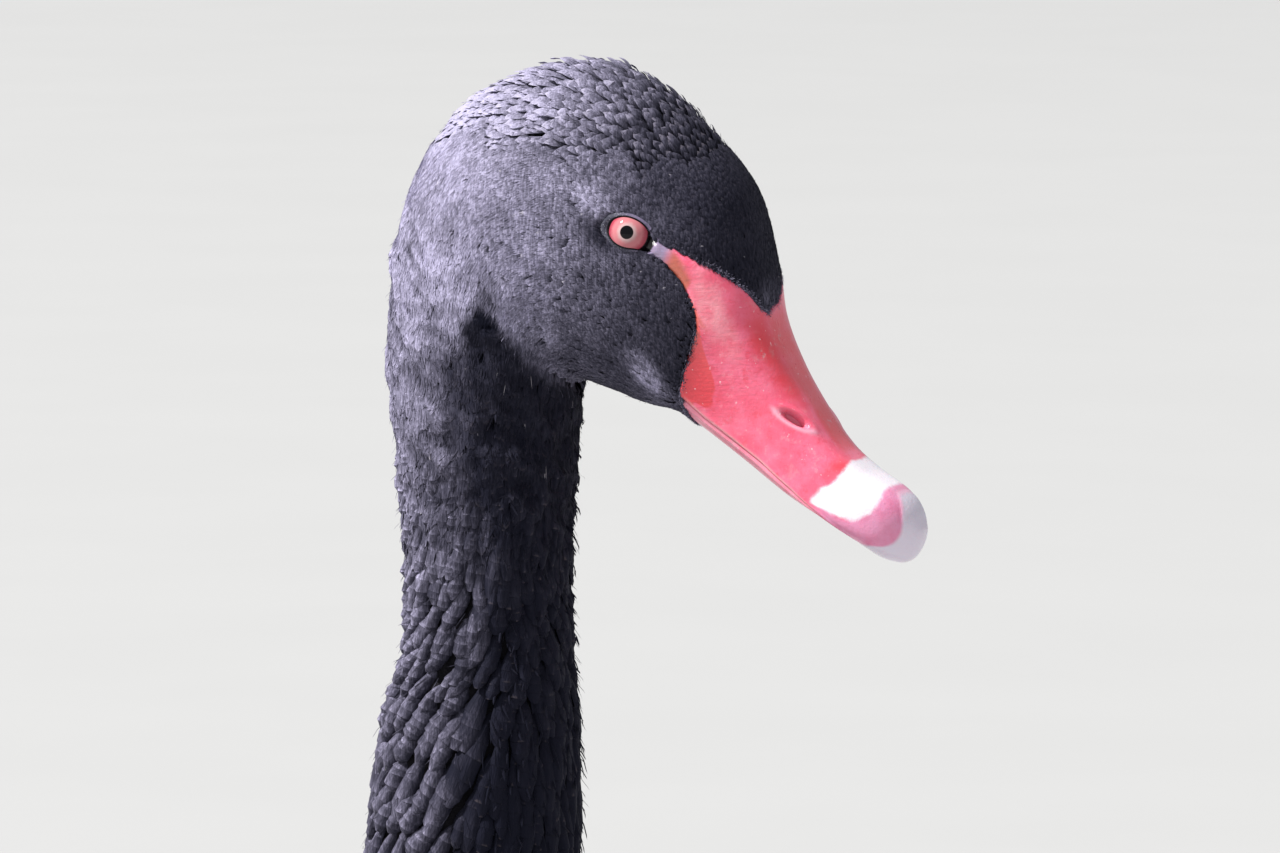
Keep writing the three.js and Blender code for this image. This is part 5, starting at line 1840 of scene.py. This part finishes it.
plumage += small_feathers(
    "nape", span=(16.6, 20.4), pitch=([16, 19, 22], [1.75, 1.9, 2.3]),
    spacing=([16, 19, 22], [1.8, 2.0, 2.4]), length=([16, 19, 22], [5.4, 5.8, 7.0]),
    width=([16, 19, 22], [2.6, 2.8, 3.4]), stand=([16, 18.4, 19.4, 20.4], [0.06, 0.06, -0.35, -1.0]),
    steep=5.0, pointed=([16, 19, 22], [0.25, 0.2, 0.2]), seed=3, turn=0.12, camber=0.02, barbs=3, rims=0.5,
)
neck_at = [17, 19, 21, 25.4]
plumage += neck_ropes(
    "neck", span=(17.2, 25.4), pitch=(neck_at, [3.4, 3.9, 4.6, 5.6]),
    spacing=(neck_at, [3.9, 4.9, 6.0, 6.8]), length=(neck_at, [6.5, 8.5, 11, 12.5]),
    width=(neck_at, [2.9, 3.9, 4.8, 5.2]),
    height=([17, 18, 19, 20, 21.5, 25.4], [0.3, 0.9, 1.6, 2.2, 2.6, 2.8]), seed=4,
)
plumage += neck_ropes(
    "neck_base", span=(25, 32.2), pitch=([25, 33], [6.0, 8.5]), spacing=([25, 29, 33], [6.8, 9.4, 12]),
    length=([25, 29, 32.2], [13, 17, 16]), width=([25, 29, 32.2], [5.2, 7.1, 9.0]),
    height=([25, 28, 32.2], [2.8, 2.4, 0.5]), seed=5,
)
plumage += make_throat_tips()
plumage += make_wisps()
plumage += make_fringe()
plumage += contour_feathers(
    "breast", span=(31.2, 37), pitch=([31, 37], [7.0, 12]), spacing=([31, 37], [8.0, 12]),
    length=([31, 37], [16, 26]), width=([31, 37], [10.5, 16]), seed=6, rows=5,
)
plumage += contour_feathers(
    "body", span=(37, 43.6), pitch=([37, 43], [13, 11]), spacing=([37, 43], [12, 9.5]),
    length=([37, 43], [30, 26]), width=([37, 43], [17, 13]), seed=7, rows=6,
)
for side_name, side in SIDES.items():
    plumage.append(make_thigh(side_name, side))
    quill += make_wing(side_name, side)
    eyes.append(make_eye(side_name, side))
    legs.append(make_lids(side_name, side))
    legs += make_leg(side_name, side)
quill.append(make_tail())
horn += [make_upper_bill(), make_lower_bill()]

for pieces, slot in ((plumage, "plumage"), (quill, "quill"), (horn, "bill"), (eyes, "eye"), (legs, "leg")):
    for piece in pieces:
        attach(piece, "root")


# Floor, light and camera

FLOOR = dict(half=45.0, depth=0.02)  # in metres
square = FLOOR["half"] * np.array([(-1, -1), (1, -1), (1, 1), (-1, 1)])
corners = [(x, y, z) for z in (-FLOOR["depth"], 0.0) for x, y in square]
box_faces = np.array([(0, 3, 2, 1), (4, 5, 6, 7), (0, 1, 5, 4), (1, 2, 6, 5), (2, 3, 7, 6), (3, 0, 4, 7)])
floor = new_object("floor", corners, [box_faces], floor_material())

CAMERA = dict(azimuth=math.radians(22), elevation=math.radians(6), lens=300.0, sensor=36.0)
VIEW_WIDTH = 0.320  # of the picture at the head, in metres
THROAT_AT = (487.0, 375.0)  # the throat corner in the 1280 by 853 picture
PICTURE = (1280.0, 853.0)


def camera_axes():
    a, e = CAMERA["azimuth"], CAMERA["elevation"]
    right = np.array([math.cos(a), math.sin(a), 0])
    up = np.array([-math.sin(a) * math.sin(e), math.cos(a) * math.sin(e), math.cos(e)])
    return right, up, np.cross(right, up)


def make_camera():
    right, up, back = camera_axes()
    pixel = VIEW_WIDTH / PICTURE[0]
    anchor = placed(np.array([THROAT[0], 0, THROAT[1]]))
    ahead, above = (PICTURE[0] / 2 - THROAT_AT[0]) * pixel, (THROAT_AT[1] - PICTURE[1] / 2) * pixel
    middle = anchor + right * ahead + up * above
    data = bpy.data.cameras.new("camera")
    data.lens, data.sensor_width = CAMERA["lens"], CAMERA["sensor"]
    data.clip_end = 200
    camera = bpy.data.objects.new("camera", data)
    distance = VIEW_WIDTH * CAMERA["lens"] / CAMERA["sensor"]
    basis = Matrix([Vector(right), Vector(up), Vector(back)]).transposed().to_4x4()
    basis.translation = Vector(middle + back * distance)
    camera.matrix_world = basis
    bpy.context.scene.collection.objects.link(camera)
    bpy.context.scene.camera = camera


def make_sun(name, direction, energy, angle, colour):
    """A soft lamp far away; the direction points from the swan to the lamp, in the camera's axes."""
    right, up, back = camera_axes()
    way = Vector(direction[0] * right + direction[1] * up + direction[2] * back).normalized()
    data = bpy.data.lights.new(name, "SUN")
    data.energy, data.angle, data.color = energy, math.radians(angle), colour
    lamp = bpy.data.objects.new(name, data)
    lamp.rotation_mode = "QUATERNION"
    lamp.rotation_quaternion = way.to_track_quat("Z", "Y")
    bpy.context.scene.collection.objects.link(lamp)


def make_world():
    world = bpy.data.worlds.new("studio")
    world.use_nodes = True
    background = world.node_tree.nodes["Background"]
    background.inputs["Color"].default_value = (0.92, 0.95, 1.0, 1)
    background.inputs["Strength"].default_value = 0.5
    bpy.context.scene.world = world


make_camera()
make_world()
make_sun("key", (-0.62, 0.74, 0.26), 6.3, 5, (1.0, 0.985, 0.97))
bpy.context.scene.view_settings.view_transform = "Standard"

bpy.context.view_layer.update()
